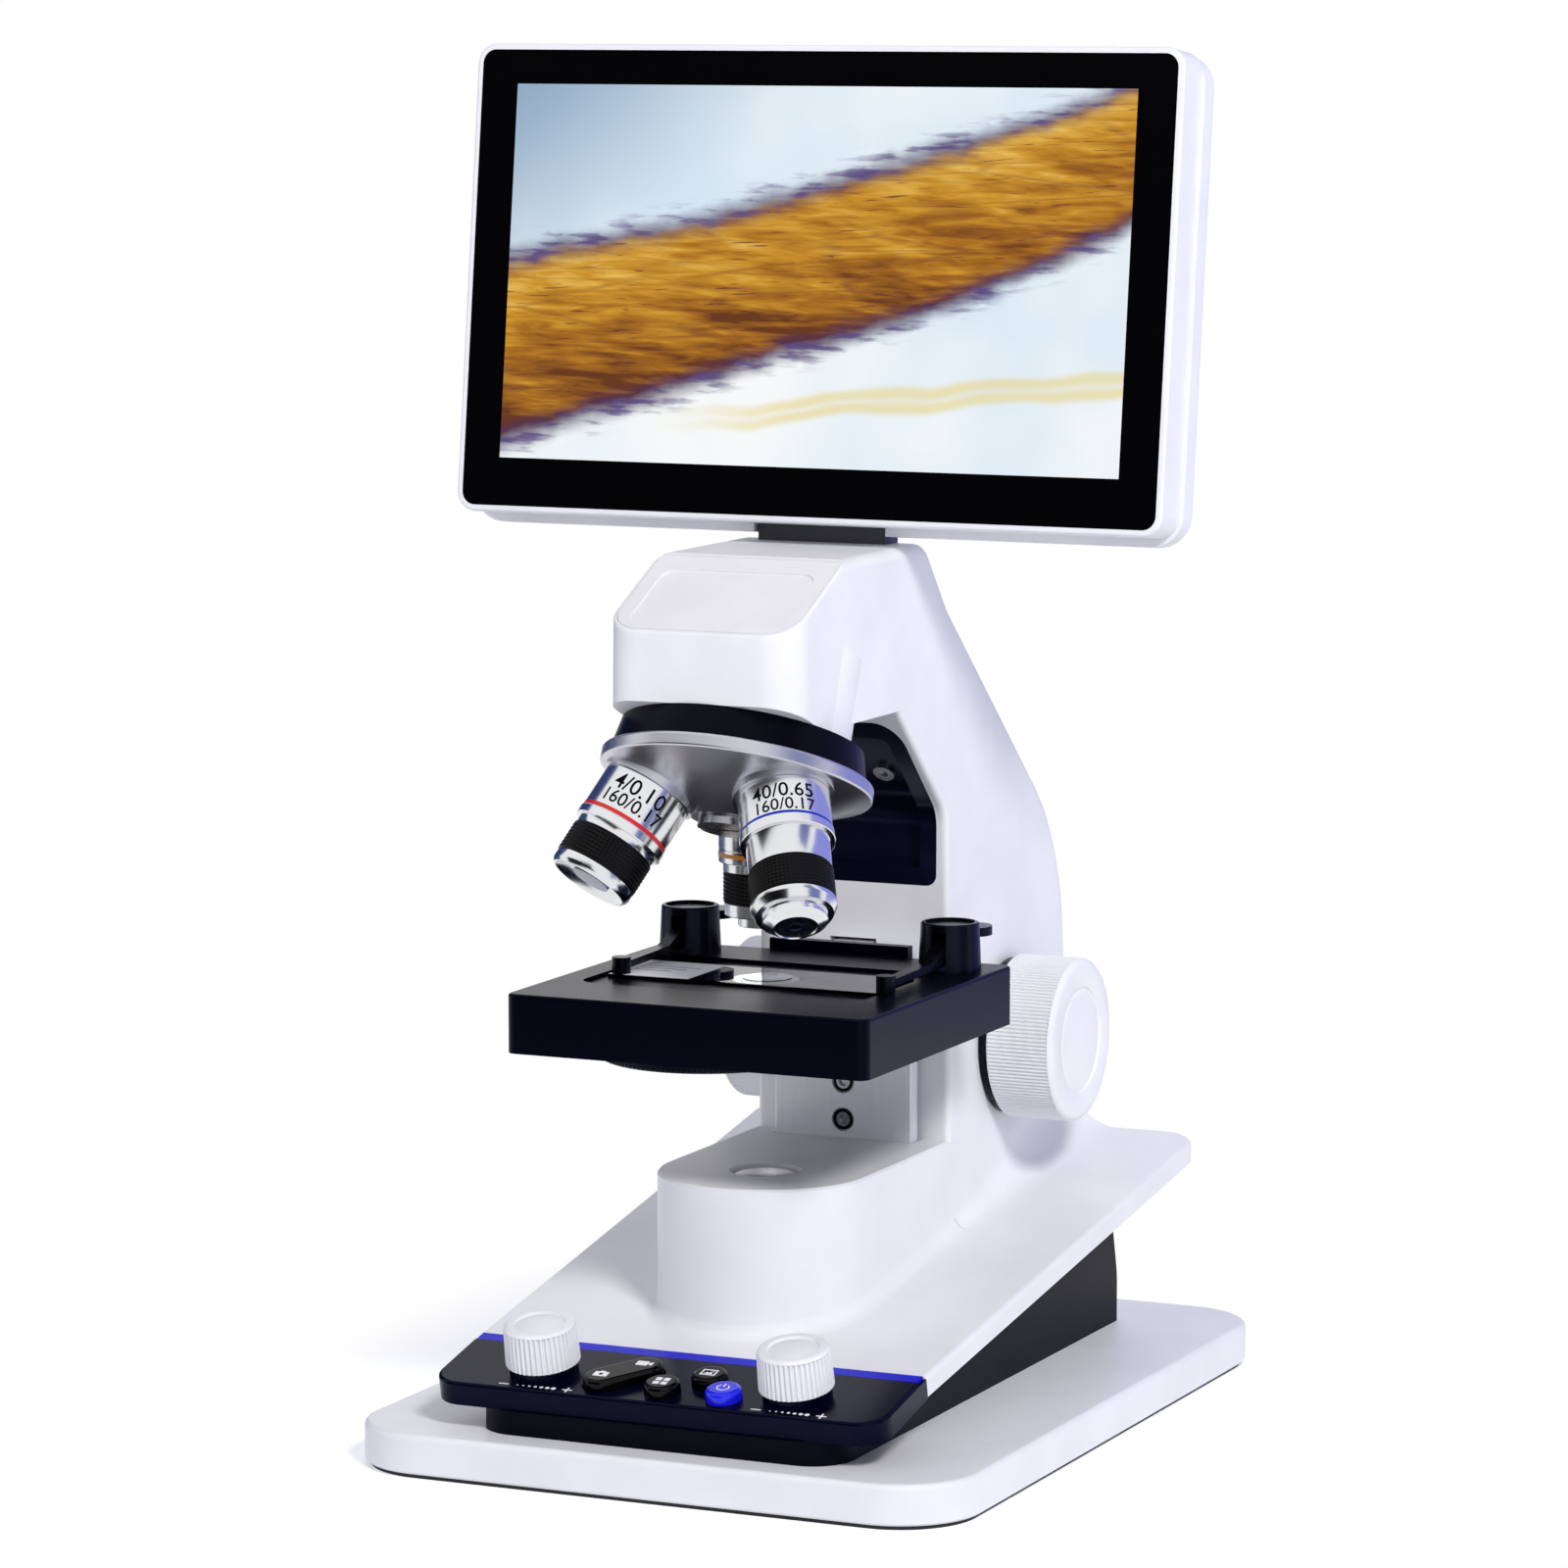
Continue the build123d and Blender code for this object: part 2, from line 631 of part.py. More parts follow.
def rear_outline(inset):
    """Outline of the rear cover, moved in by the given distance."""
    width, height, corner = REAR_COVER
    RectangleRounded(width - 2 * inset, height - 2 * inset, corner - inset)


def arch_side(start, end):
    """Side view of a layer under the arch's surface, between two depths."""
    rise = HEAD_BOTTOM - ARCH_LOW_Z
    run = ARM_FRONT_Y - ARCH_HEAD_Y
    Polygon(
        (ARM_FRONT_Y, ARCH_LOW_Z - 2 * rise),
        (ARM_FRONT_Y, ARCH_LOW_Z),
        (ARCH_HEAD_Y - run, HEAD_BOTTOM + rise),
        (OVER / 2, HEAD_BOTTOM + rise),
        (OVER / 2, ARCH_LOW_Z - 2 * rise),
        align=None,
    )
    fillet(nearest(vertices(), ARM_FRONT_Y, ARCH_LOW_Z), ARCH_RADIUS)
    if start:
        offset(amount=-start, kind=Kind.INTERSECTION, mode=Mode.REPLACE)
    offset(amount=start - end, kind=Kind.INTERSECTION, mode=Mode.SUBTRACT)


def arch_front(inset):
    """Front view of the insert in the arch, moved in by the given distance."""
    corners = (INSERT_TOP, INSERT_FOOT, (-INSERT_FOOT[0], INSERT_FOOT[1]), (-INSERT_TOP[0], INSERT_TOP[1]))
    Polygon(*corners, align=None)
    fillet(vertices().group_by(Axis.Y)[-1], INSERT_TOP_CORNER)
    fillet(vertices().group_by(Axis.Y)[0], INSERT_FOOT_CORNER)
    if inset:
        offset(amount=-inset, kind=Kind.INTERSECTION, mode=Mode.REPLACE)


def straight_turn(turn):
    """Direction of an objective when the turret is turned this far from the 10x position."""
    along = TURRET_DOWN * TILT_COS
    across = Vector(0, 0, -1) - along
    sideways = TURRET_DOWN.cross(across)
    return along + across * cos(radians(turn)) + sideways * sin(radians(turn))


def radial(origin, direction):
    """Plane whose X runs along a direction, for profiles that are revolved round it."""
    aside = direction.cross(Vector(1, 0, 0))
    if aside.length < 0.5:
        aside = direction.cross(Vector(0, 1, 0))
    return Plane(origin=origin, x_dir=direction, z_dir=aside)


def station_plane(direction, length):
    """Plane square to an objective's axis, at a distance from the apex."""
    return Plane(origin=APEX + direction * length, x_dir=(1, 0, 0), z_dir=direction)


POCKET_DEPTH = 1.0
IRIS_PIVOT_SINK = 6.0
IRIS_PIVOT_HEAD_THICK = 1.2
IRIS_EDGE = 0.5
PLATE_EDGE = 0.5
TRUCK_BOTTOM = 70.0
TRUCK_REAR = 47.3
TRUCK_FLANGE_FRONT = 33.0
RACK_ADDENDUM = 0.7
RACK_DEDENDUM = 1.25
RAIL_INNER = TRUCK_HALF + AIR
BUSH_INNER_X = 22.0
SHAFT_HALF = 43.0
PINION_HALF = 5.0
FLANK_STEPS = 5
KNOB_START_X = 30.35
KNOB_BACK_STEP = 0.8
CLIP_POST_TAPER = 2.7
CLIP_WINDOW_Z = (122.7, 132.6)              # bottom and top of the window through each post
CLIP_DISH_R = 6.6
CLIP_DISH_DEPTH = 0.8
CLIP_POST_EDGE = 0.6
CLIP_HUB_R = 2.8
CLIP_PIN_HALF = 5.6
CLIP_HUB_DROP = 0.2                         # keeps the web inside the hub's outline
CLIP_WEB = (-9.5, 129.2)                    # where the web's top leaves the post
CLIP_WEB_END = (-18.0, 125.9)
CLIP_ARM_BOTTOM = 123.9
CLIP_ARM_TIP = (123.5, 125.4)               # bottom and top of the arm at the foot
CLIP_PADDLE_Z = 130.6
CLIP_PADDLE_THICK = 2.4
CLIP_FOOT_BOTTOM = STAGE_TOP + STACK
PANEL_SEAM = 0.1
PANEL_CAVITY_V = (-29.4, -5.6)
BUTTON_BOARD_V = (-27.6, -6.2)
PANEL_KNOB_TAPER = 4.0
PANEL_KNOB_EDGE = 1.5
KNOB_SHAFT_LENGTH = 9.8
BUTTON_GAP = 0.1
ROCKER_GAP = 0.45
ROCKER_DROP = 0.6
ROCKER_FLANGE_THICK = 0.8
ROCKER_POST = 2.0
ROCKER_POST_HEIGHT = 2.5
SWITCH_SIZE = 6.0
SWITCH_HEIGHT = 1.8
BEZEL_LEDGE_DEPTH = 2.5
BAY_RISE = 8.5
BAY_TOP_V = BAY_RISE - SCREEN_UP
BAY_WALL = 1.6
BAY_FRONT_DEPTH = 11.4
BAY_FRONT_BOTTOM_V = -61.9
PIN_GRIP = CHEEK_WIDTH
MONITOR_SCREW_LENGTH = 12.0
VENT_MIDDLE_V = 16.0
VENT_BOTTOM_V = VENT_MIDDLE_V - VENT_PITCH * (VENT_COUNT - 1) / 2
VENTS = [(0, VENT_BOTTOM_V + VENT_PITCH * row) for row in range(VENT_COUNT)]
NECK_FOOT_Y = -10.0
NECK_FOOT_HALF = 22.0

with BuildPart() as base_riser:
    with BuildSketch():
        Polygon(
            (-RISER_HALF, RISER_FRONT),
            (RISER_HALF, RISER_FRONT),
            (RISER_HALF, RISER_REAR),
            (-RISER_HALF, RISER_REAR),
            align=None,
        )
        fillet(vertices().group_by(Axis.Y)[0], RISER_CORNER)
        fillet(vertices().group_by(Axis.Y)[-1], RISER_REAR_CORNER)
    extrude(amount=OVER)
    inner_length = riser_top_y - RISER_FRONT - 2 * RISER_WALL
    with BuildSketch():
        with Locations((0, RISER_FRONT + RISER_WALL + inner_length / 2)):
            RectangleRounded(2 * (RISER_HALF - RISER_WALL), inner_length, RISER_CORNER - RISER_WALL)
    extrude(amount=OVER, mode=Mode.SUBTRACT)
    with BuildSketch():
        with Locations(*BASE_SCREWS):
            Circle(RISER_BOSS_R)
    extrude(amount=BASE_TOP + RISER_BOSS_HEIGHT)
    with BuildSketch():
        with Locations(*BASE_SCREWS):
            Circle(SCREW_PILOT_R)
    extrude(amount=OVER, mode=Mode.SUBTRACT)
    with BuildSketch(ACROSS):
        Polygon(*RISER_SIDE, align=None)
    extrude(amount=OVER, mode=Mode.INTERSECT)

with BuildPart() as main_board:
    with BuildSketch(Plane.XY.offset(BOARD_Z)):
        with Locations((0, (BOARD_Y[0] + BOARD_Y[1]) / 2)):
            RectangleRounded(2 * BOARD_X + 10, BOARD_Y[1] - BOARD_Y[0], 2)
    extrude(amount=BOARD_THICK)
    for x, y, width, depth, height in BOARD_CHIPS:
        with BuildSketch(Plane.XY.offset(BOARD_Z + BOARD_THICK)):
            with Locations((x, y)):
                Rectangle(width, depth)
        extrude(amount=height)

with BuildPart() as battery_pack:
    with BuildSketch(Plane.YZ.offset(-BATTERY_LENGTH / 2)):
        with Locations(*[(y, BASE_TOP + BATTERY_CELL_R) for y in BATTERY_CELL_Y]):
            Circle(BATTERY_CELL_R)
        with Locations((sum(BATTERY_CELL_Y) / 2, BASE_TOP + BATTERY_CELL_R / 2)):
            Rectangle(BATTERY_CELL_Y[1] - BATTERY_CELL_Y[0], BATTERY_CELL_R)
    extrude(amount=BATTERY_LENGTH)

# ---------------------------------------------------------------- body: deck, arm and head
with BuildPart() as deck_blank:
    with BuildSketch():
        Polygon(
            (-DECK_HALF_FRONT, DECK_FRONT),
            (DECK_HALF_FRONT, DECK_FRONT),
            (DECK_HALF_REAR, DECK_REAR),
            (-DECK_HALF_REAR, DECK_REAR),
            align=None,
        )
        fillet(vertices().group_by(Axis.Y)[-1], DECK_CORNER)
    extrude(amount=OVER)
    with BuildSketch(ACROSS):
        Polygon(*DECK_SIDE, align=None)
    extrude(amount=OVER, mode=Mode.INTERSECT)
    fillet(edges().filter_by(is_deck_rim), DECK_EDGE)
    with BuildSketch():
        with Locations((0, OPTICAL_Y)):
            Circle(HOUSING_R)
        with Locations((0, (OPTICAL_Y + HOUSING_REAR) / 2)):
            Rectangle(2 * HOUSING_R, HOUSING_REAR - OPTICAL_Y)
    extrude(amount=HOUSING_TOP)
    with BuildSketch(ACROSS):
        Polygon(*BELOW_DECK, align=None)
    extrude(amount=OVER, mode=Mode.SUBTRACT)
    fillet(edges().filter_by(is_housing_foot), FLARE_FRONT)
    chamfer(edges().group_by(Axis.Z)[-1].filter_by(lambda e: e.center().Y < HOUSING_REAR - 1), HOUSING_EDGE)

with BuildPart() as arm_blank:
    with BuildSketch(ACROSS):
        side_profile(0)
    extrude(amount=OVER)
    with BuildSketch(ALONG):
        front_profile(0)
    extrude(amount=OVER, mode=Mode.INTERSECT)
    fillet(edges().filter_by(is_head_corner), HEAD_CORNER)
    fillet(edges().filter_by(is_back_outline), OUTLINE_EDGE)
    fillet(edges().filter_by(is_facet_rim), FACET_EDGE)
    fillet(edges().filter_by(is_arm_front), ARM_FRONT_EDGE)

flares = []
for side in (-1, 1):
    with BuildPart() as flare:
        for y, radius in ((FLARE_START_Y, FLARE_FRONT), (BACK_FOOT_Y, FLARE_REAR)):
            foot = Plane(origin=(side * HOUSING_R, y, deck_top(y)), x_dir=(side, 0, 0), z_dir=(0, -side, 0))
            with BuildSketch(foot):
                with BuildLine():
                    Line((radius, 0), (radius, -1))
                    Line((radius, -1), (-1, -1))
                    Line((-1, -1), (-1, radius))
                    Line((-1, radius), (0, radius))
                    ThreePointArc((0, radius), (radius * ARC_NEAR, radius * ARC_NEAR), (radius, 0))
                make_face()
        loft()
        split(bisect_by=BACK, keep=Keep.BOTTOM)
    flares.append(flare)

with BuildPart() as hollow:
    with BuildSketch(ACROSS):
        side_profile(WALL)
    extrude(amount=OVER)
    with BuildSketch(ALONG):
        front_profile(WALL)
    extrude(amount=OVER, mode=Mode.INTERSECT)
    with BuildSketch(Plane.XY.offset(deck_under(HEAD_FRONT))):
        with Locations((0, OPTICAL_Y)):
            Circle(HOUSING_R - WALL)
        with Locations((0, (OPTICAL_Y + HOLLOW_REAR) / 2)):
            Rectangle(2 * (HOUSING_R - WALL), HOLLOW_REAR - OPTICAL_Y)
    extrude(amount=HOUSING_TOP - WALL - deck_under(HEAD_FRONT))

ARCH_LAYERS = {
    "seat": (-1, INSERT_RIM, 0),
    "window": (-1, WALL + 2, COVER_LEDGE),
    "rim": (0, INSERT_RIM, FIT),
    "tray": (INSERT_RIM, INSERT_DEPTH, COVER_LEDGE + FIT),
    "recess": (-1, INSERT_RECESS, COVER_LEDGE + FIT + INSERT_WALL),
}
arch_layers = {}
for name, (start, end, inset) in ARCH_LAYERS.items():
    with BuildPart() as layer:
        with BuildSketch(ACROSS):
            arch_side(start, end)
        extrude(amount=OVER)
        with BuildSketch(Plane.XZ.offset(-ARCH_REACH)):
            arch_front(inset)
        extrude(amount=2 * ARCH_REACH, mode=Mode.INTERSECT)
    arch_layers[name] = layer

with BuildPart() as body_shell:
    add(deck_blank)
    add(arm_blank)
    for flare in flares:
        add(flare)
    with BuildSketch(RING_PLANE):
        Circle(HEAD_BOSS_R)
    extrude(amount=-HEAD_BOSS_LENGTH)
    add(hollow, mode=Mode.SUBTRACT)
    # light path and turret stud through the boss under the head
    with BuildSketch(Plane.XY.offset(RING_CENTRE.Z - RING_R)):
        with Locations((0, OPTICAL_Y)):
            Circle(LIGHT_BORE_R)
    extrude(amount=RING_R + WALL + HEAD_BOTTOM - RING_CENTRE.Z + 1, mode=Mode.SUBTRACT)
    with BuildSketch(RING_PLANE):
        Circle(STUD_R + STACK)
    extrude(amount=-STUD_DEPTH - STACK, mode=Mode.SUBTRACT)
    # lens seat and lamp posts in the housing's top
    with BuildSketch(Plane.XY.offset(LENS_BASE_Z)):
        with Locations((0, OPTICAL_Y)):
            Circle(LENS_R + FIT)
    extrude(amount=LENS_SEAT_DEPTH + 1, mode=Mode.SUBTRACT)
    with BuildSketch(Plane.XY.offset(HOUSING_TOP - WALL - 1)):
        with Locations((0, OPTICAL_Y)):
            Circle(LENS_R - LENS_LEDGE)
    extrude(amount=WALL + 2, mode=Mode.SUBTRACT)
    with BuildSketch(Plane.XY.offset(LAMP_BOARD_Z + BOARD_THICK)):
        with Locations((-LAMP_POST_X, OPTICAL_Y), (LAMP_POST_X, OPTICAL_Y)):
            Circle(LAMP_POST_R)
    extrude(amount=HOUSING_TOP - WALL - LAMP_BOARD_Z - BOARD_THICK)
    # slot for the slide plate, opening for the focus truck, seats of the bushes
    with BuildSketch(Plane.XY.offset(HOUSING_TOP - WALL - 1)):
        with Locations((0, (PLATE_FRONT - AIR + ARM_FRONT_Y) / 2)):
            Rectangle(2 * (PLATE_HALF + PLATE_SIDE_GAP), ARM_FRONT_Y - PLATE_FRONT + AIR)
    extrude(amount=WALL + 2, mode=Mode.SUBTRACT)
    with BuildSketch(Plane.XZ.offset(1 - ARM_FRONT_Y)):
        with Locations((0, (HOUSING_TOP - WALL - 2 + PLATE_TOP + 1) / 2)):
            Rectangle(2 * (TRUCK_HALF + 2 * PLATE_SIDE_GAP), PLATE_TOP + 1 - HOUSING_TOP + WALL + 2)
    extrude(amount=-WALL - 3, mode=Mode.SUBTRACT)
    with BuildSketch(ACROSS):
        with Locations((FOCUS_Y, FOCUS_Z)):
            Circle(BUSH_R)
    extrude(amount=OVER, mode=Mode.SUBTRACT)
    # seats of the facet cover and the rear cover
    with BuildSketch(FACET.offset(1)):
        facet_outline(0)
    extrude(amount=-COVER_THICK - 1, mode=Mode.SUBTRACT)
    with BuildSketch(FACET):
        facet_outline(COVER_LEDGE)
    extrude(amount=-WALL - 3, mode=Mode.SUBTRACT)
    with BuildSketch(BACK.offset(1)):
        rear_outline(0)
    extrude(amount=-COVER_THICK - 1, mode=Mode.SUBTRACT)
    with BuildSketch(BACK):
        rear_outline(COVER_LEDGE)
    extrude(amount=-WALL - 3, mode=Mode.SUBTRACT)
    with BuildSketch(BACK.offset(-COVER_THICK)):
        with Locations(*REAR_SCREWS):
            Circle(SCREW_BOSS_R)
    extrude(amount=-SCREW_BOSS_LENGTH)
    with BuildSketch(BACK):
        with Locations(*REAR_SCREWS):
            Circle(SCREW_PILOT_R)
    extrude(amount=-SCREW_LENGTH - COVER_THICK, mode=Mode.SUBTRACT)
    # slot for the neck, socket hole in the sloping back
    with BuildSketch(Plane.XY.offset(HEAD_TOP - WALL - 3)):
        with Locations((0, HINGE_Y)):
            Rectangle(2 * (NECK_HALF + FIT), NECK_THICK + 2 * FIT)
    extrude(amount=WALL + 4, mode=Mode.SUBTRACT)
    with BuildSketch(SLOPE):
        SlotOverall(PORT_WIDTH + 2 * FIT, PORT_HEIGHT + 2 * FIT)
    extrude(amount=-WALL - 3, mode=Mode.SUBTRACT)
    # seat of the arch insert and the boss for its screw
    add(arch_layers["seat"], mode=Mode.SUBTRACT)
    add(arch_layers["window"], mode=Mode.SUBTRACT)
    with BuildSketch(ARCH_SLOPE.offset(-INSERT_DEPTH - STACK)):
        Circle(SCREW_BOSS_R)
        with Locations(((HOUSING_R - INSERT_SCREW[0] - WALL / 2) / 2, 0)):
            Rectangle(HOUSING_R - INSERT_SCREW[0] - WALL / 2 - 1.5, WALL)
    extrude(amount=-INSERT_BOSS_LENGTH)
    with BuildSketch(ARCH_SLOPE):
        Circle(SCREW_PILOT_R)
    extrude(amount=-INSERT_RECESS - SCREW_LENGTH, mode=Mode.SUBTRACT)

with BuildPart() as facet_cover:
    with BuildSketch(FACET):
        facet_outline(FIT)
    extrude(amount=-COVER_THICK)
    width, length, corner, middle = FACET_PANEL
    with BuildSketch(FACET):
        with Locations((0, middle)):
            RectangleRounded(width, length, corner)
    extrude(amount=-FACET_PANEL_DEPTH, mode=Mode.SUBTRACT)

with BuildPart() as rear_cover:
    with BuildSketch(BACK):
        rear_outline(FIT)
    extrude(amount=-COVER_THICK)
    with BuildSketch(BACK):
        with Locations(*[(0, v) for v in REAR_VENT_V]):
            SlotOverall(REAR_VENT_LENGTH, VENT_WIDTH)
        with Locations(*REAR_SCREWS):
            Circle(SCREW_HOLE_R)
    extrude(amount=-COVER_THICK, mode=Mode.SUBTRACT)
    with BuildSketch(BACK):
        with Locations(*REAR_SCREWS):
            Circle(SCREW_HEAD_R + AIR)
    extrude(amount=-SCREW_SINK, mode=Mode.SUBTRACT)

with BuildPart() as arch_insert:
    add(arch_layers["rim"])
    add(arch_layers["tray"])
    add(arch_layers["recess"], mode=Mode.SUBTRACT)
    with BuildSketch(ARCH_SLOPE):
        Circle(SCREW_HOLE_R)
    extrude(amount=-INSERT_DEPTH - 1, mode=Mode.SUBTRACT)

with BuildPart() as port_socket:
    with BuildSketch(SLOPE.offset(PORT_STAND)):
        SlotOverall(PORT_WIDTH, PORT_HEIGHT)
    extrude(amount=-PORT_DEPTH - PORT_STAND)
    with BuildSketch(SLOPE.offset(PORT_STAND)):
        SlotOverall(PORT_WIDTH - 2 * PORT_SHELL, PORT_HEIGHT - 2 * PORT_SHELL)
    extrude(amount=-PORT_DEPTH, mode=Mode.SUBTRACT)

# ---------------------------------------------------------------- lamp
with BuildPart() as lamp_lens:
    with BuildSketch(Plane.XZ.offset(-OPTICAL_Y)):
        with BuildLine():
            Line((0, LENS_BASE_Z), (LENS_R, LENS_BASE_Z))
            Line((LENS_R, LENS_BASE_Z), (LENS_R, LENS_BASE_Z + LENS_RIM))
            ThreePointArc(
                (LENS_R, LENS_BASE_Z + LENS_RIM),
                (LENS_R / 2, LENS_BASE_Z + LENS_RIM + LENS_DOME - DOME_R + sqrt(DOME_R**2 - LENS_R**2 / 4)),
                (0, LENS_BASE_Z + LENS_RIM + LENS_DOME),
            )
            Line((0, LENS_BASE_Z + LENS_RIM + LENS_DOME), (0, LENS_BASE_Z))
        make_face()
    revolve(axis=Axis((0, OPTICAL_Y, 0), (0, 0, 1)))

with BuildPart() as lamp_module:
    with BuildSketch(Plane.XY.offset(LAMP_BOARD_Z)):
        with Locations((0, OPTICAL_Y)):
            RectangleRounded(2 * (LAMP_POST_X + LAMP_POST_R), 4 * LAMP_POST_R, 1)
    extrude(amount=BOARD_THICK)
    with BuildSketch(Plane.XY.offset(LAMP_BOARD_Z + BOARD_THICK)):
        with Locations((0, OPTICAL_Y)):
            Rectangle(LED_SIZE, LED_SIZE)
    extrude(amount=LED_HEIGHT)

# ---------------------------------------------------------------- camera in the head
with BuildPart() as camera_tube:
    with BuildSketch(Plane.XY.offset(HEAD_BOTTOM + WALL)):
        with Locations((0, OPTICAL_Y)):
            Circle(CAMERA_TUBE_R)
            Circle(CAMERA_TUBE_BORE, mode=Mode.SUBTRACT)
    extrude(amount=CAMERA_TUBE_HEIGHT)

with BuildPart() as camera_board:
    with BuildSketch(Plane.XY.offset(HEAD_BOTTOM + WALL + CAMERA_TUBE_HEIGHT)):
        with Locations((0, OPTICAL_Y)):
            RectangleRounded(CAMERA_BOARD, CAMERA_BOARD, 2)
    extrude(amount=BOARD_THICK)
    with BuildSketch(Plane.XY.offset(HEAD_BOTTOM + WALL + CAMERA_TUBE_HEIGHT)):
        with Locations((0, OPTICAL_Y)):
            Rectangle(SENSOR_SIZE, SENSOR_SIZE)
    extrude(amount=-SENSOR_HEIGHT)

# ---------------------------------------------------------------- turret and objectives
directions = {name: straight_turn(spec["turn"]) for name, spec in OBJECTIVES.items()}

with BuildPart() as turret_disc:
    with BuildSketch(radial(RIM_CENTRE, TURRET_DOWN)):
        Polygon(
            (0, 0),
            (0, RIM_R),
            (RIM_THICK, RIM_R),
            (DISC_DEPTH, DISC_CONE_R),
            (DISC_DEPTH, 0),
            align=None,
        )
    revolve(axis=TURRET_AXIS)
    fillet(edges().filter_by(lambda e: e.geom_type == GeomType.CIRCLE and e.radius > RIM_R - 0.1), RIM_EDGE)
    for direction in directions.values():
        with BuildSketch(station_plane(direction, SEAT_L)):
            Circle(SEAT_R)
        extrude(amount=-SEAT_RISE)
    with BuildSketch(RIM_PLANE):
        Circle(RIM_R + 1)
    extrude(amount=-OVER / 20, mode=Mode.SUBTRACT)
    for direction in directions.values():
        with BuildSketch(station_plane(direction, SEAT_L)):
            Circle(SEAT_HOLE_R + RUN)
        extrude(amount=-SEAT_HOLE_LENGTH, mode=Mode.SUBTRACT)
    with BuildSketch(RIM_PLANE):
        Circle(STUD_R + RUN)
    extrude(amount=DISC_DEPTH + 1, mode=Mode.SUBTRACT)

with BuildPart() as nosepiece_ring:
    with BuildSketch(radial(RING_CENTRE, TURRET_DOWN)):
        Polygon(
            (0, 0),
            (0, RING_TOP_R),
            (RING_HEIGHT - RING_GAP, RING_R),
            (RING_HEIGHT - RING_GAP, 0),
            align=None,
        )
    revolve(axis=TURRET_AXIS)
    with BuildSketch(Plane.XY.offset(RING_CENTRE.Z - RING_R)):
        with Locations((0, OPTICAL_Y)):
            Circle(LIGHT_BORE_R)
    extrude(amount=2 * RING_R, mode=Mode.SUBTRACT)
    with BuildSketch(RING_PLANE):
        Circle(STUD_R + RUN)
    extrude(amount=RING_HEIGHT, mode=Mode.SUBTRACT)

with BuildPart() as turret_stud:
    with BuildSketch(RIM_PLANE.offset(DISC_DEPTH + STACK)):
        Circle(STUD_HEAD_R)
    extrude(amount=STUD_HEAD_THICK)
    with BuildSketch(RIM_PLANE.offset(DISC_DEPTH + STACK)):
        Circle(STUD_R)
    extrude(amount=-DISC_DEPTH - STACK - RING_HEIGHT - STUD_DEPTH)
    with BuildSketch(RIM_PLANE.offset(DISC_DEPTH + STACK + STUD_HEAD_THICK)):
        Rectangle(3 * STUD_HEAD_R, STUD_SLOT)
    extrude(amount=-STUD_SLOT, mode=Mode.SUBTRACT)

objectives = {}
grips = {}
for name, spec in OBJECTIVES.items():
    direction = directions[name]
    axis = Axis(APEX, direction)
    grip_start, grip_end, grip_r = spec["grip"]
    end = spec["steps"][-1][0]
    with BuildPart() as objective:
        with BuildSketch(radial(APEX, direction)):
            Polygon(
                (SEAT_L - THREAD_LENGTH, 0),
                (SEAT_L - THREAD_LENGTH, SEAT_HOLE_R),
                (SEAT_L, SEAT_HOLE_R),
                *spec["steps"],
                (end, 0),
                align=None,
            )
        revolve(axis=axis)
        with BuildSketch(station_plane(direction, grip_start)):
            Circle(2 * grip_r)
            Circle(grip_r - GRIP_SINK, mode=Mode.SUBTRACT)
        extrude(amount=grip_end - grip_start, mode=Mode.SUBTRACT)
        with BuildSketch(station_plane(direction, SEAT_L - THREAD_LENGTH)):
            Circle(OBJECTIVE_BORE)
        extrude(amount=spec["cell_start"] - SEAT_L + THREAD_LENGTH, mode=Mode.SUBTRACT)
        with BuildSketch(station_plane(direction, spec["cell_start"])):
            Circle(spec["lens"])
        extrude(amount=end - spec["cell_start"] + 1, mode=Mode.SUBTRACT)
    objectives[name] = objective
    with BuildPart() as grip:
        with BuildSketch(station_plane(direction, grip_start)):
            Circle(grip_r)
        extrude(amount=grip_end - grip_start)
        chamfer(edges().filter_by(GeomType.CIRCLE), GRIP_EDGE)
        with BuildSketch(station_plane(direction, grip_start)):
            Circle(grip_r - GRIP_SINK + RUN)
        extrude(amount=grip_end - grip_start, mode=Mode.SUBTRACT)
    grips[name] = grip

with BuildPart() as objective_lenses:
    for name, spec in OBJECTIVES.items():
        with BuildSketch(station_plane(directions[name], spec["steps"][-1][0] - spec["lens_sink"])):
            Circle(spec["lens"])
        extrude(amount=-FRONT_LENS_THICK)

# ---------------------------------------------------------------- stage
def on_stage(x, y, z=STAGE_TOP):
    return Plane(origin=(x, y, z), x_dir=(1, 0, 0), z_dir=(0, 0, 1))


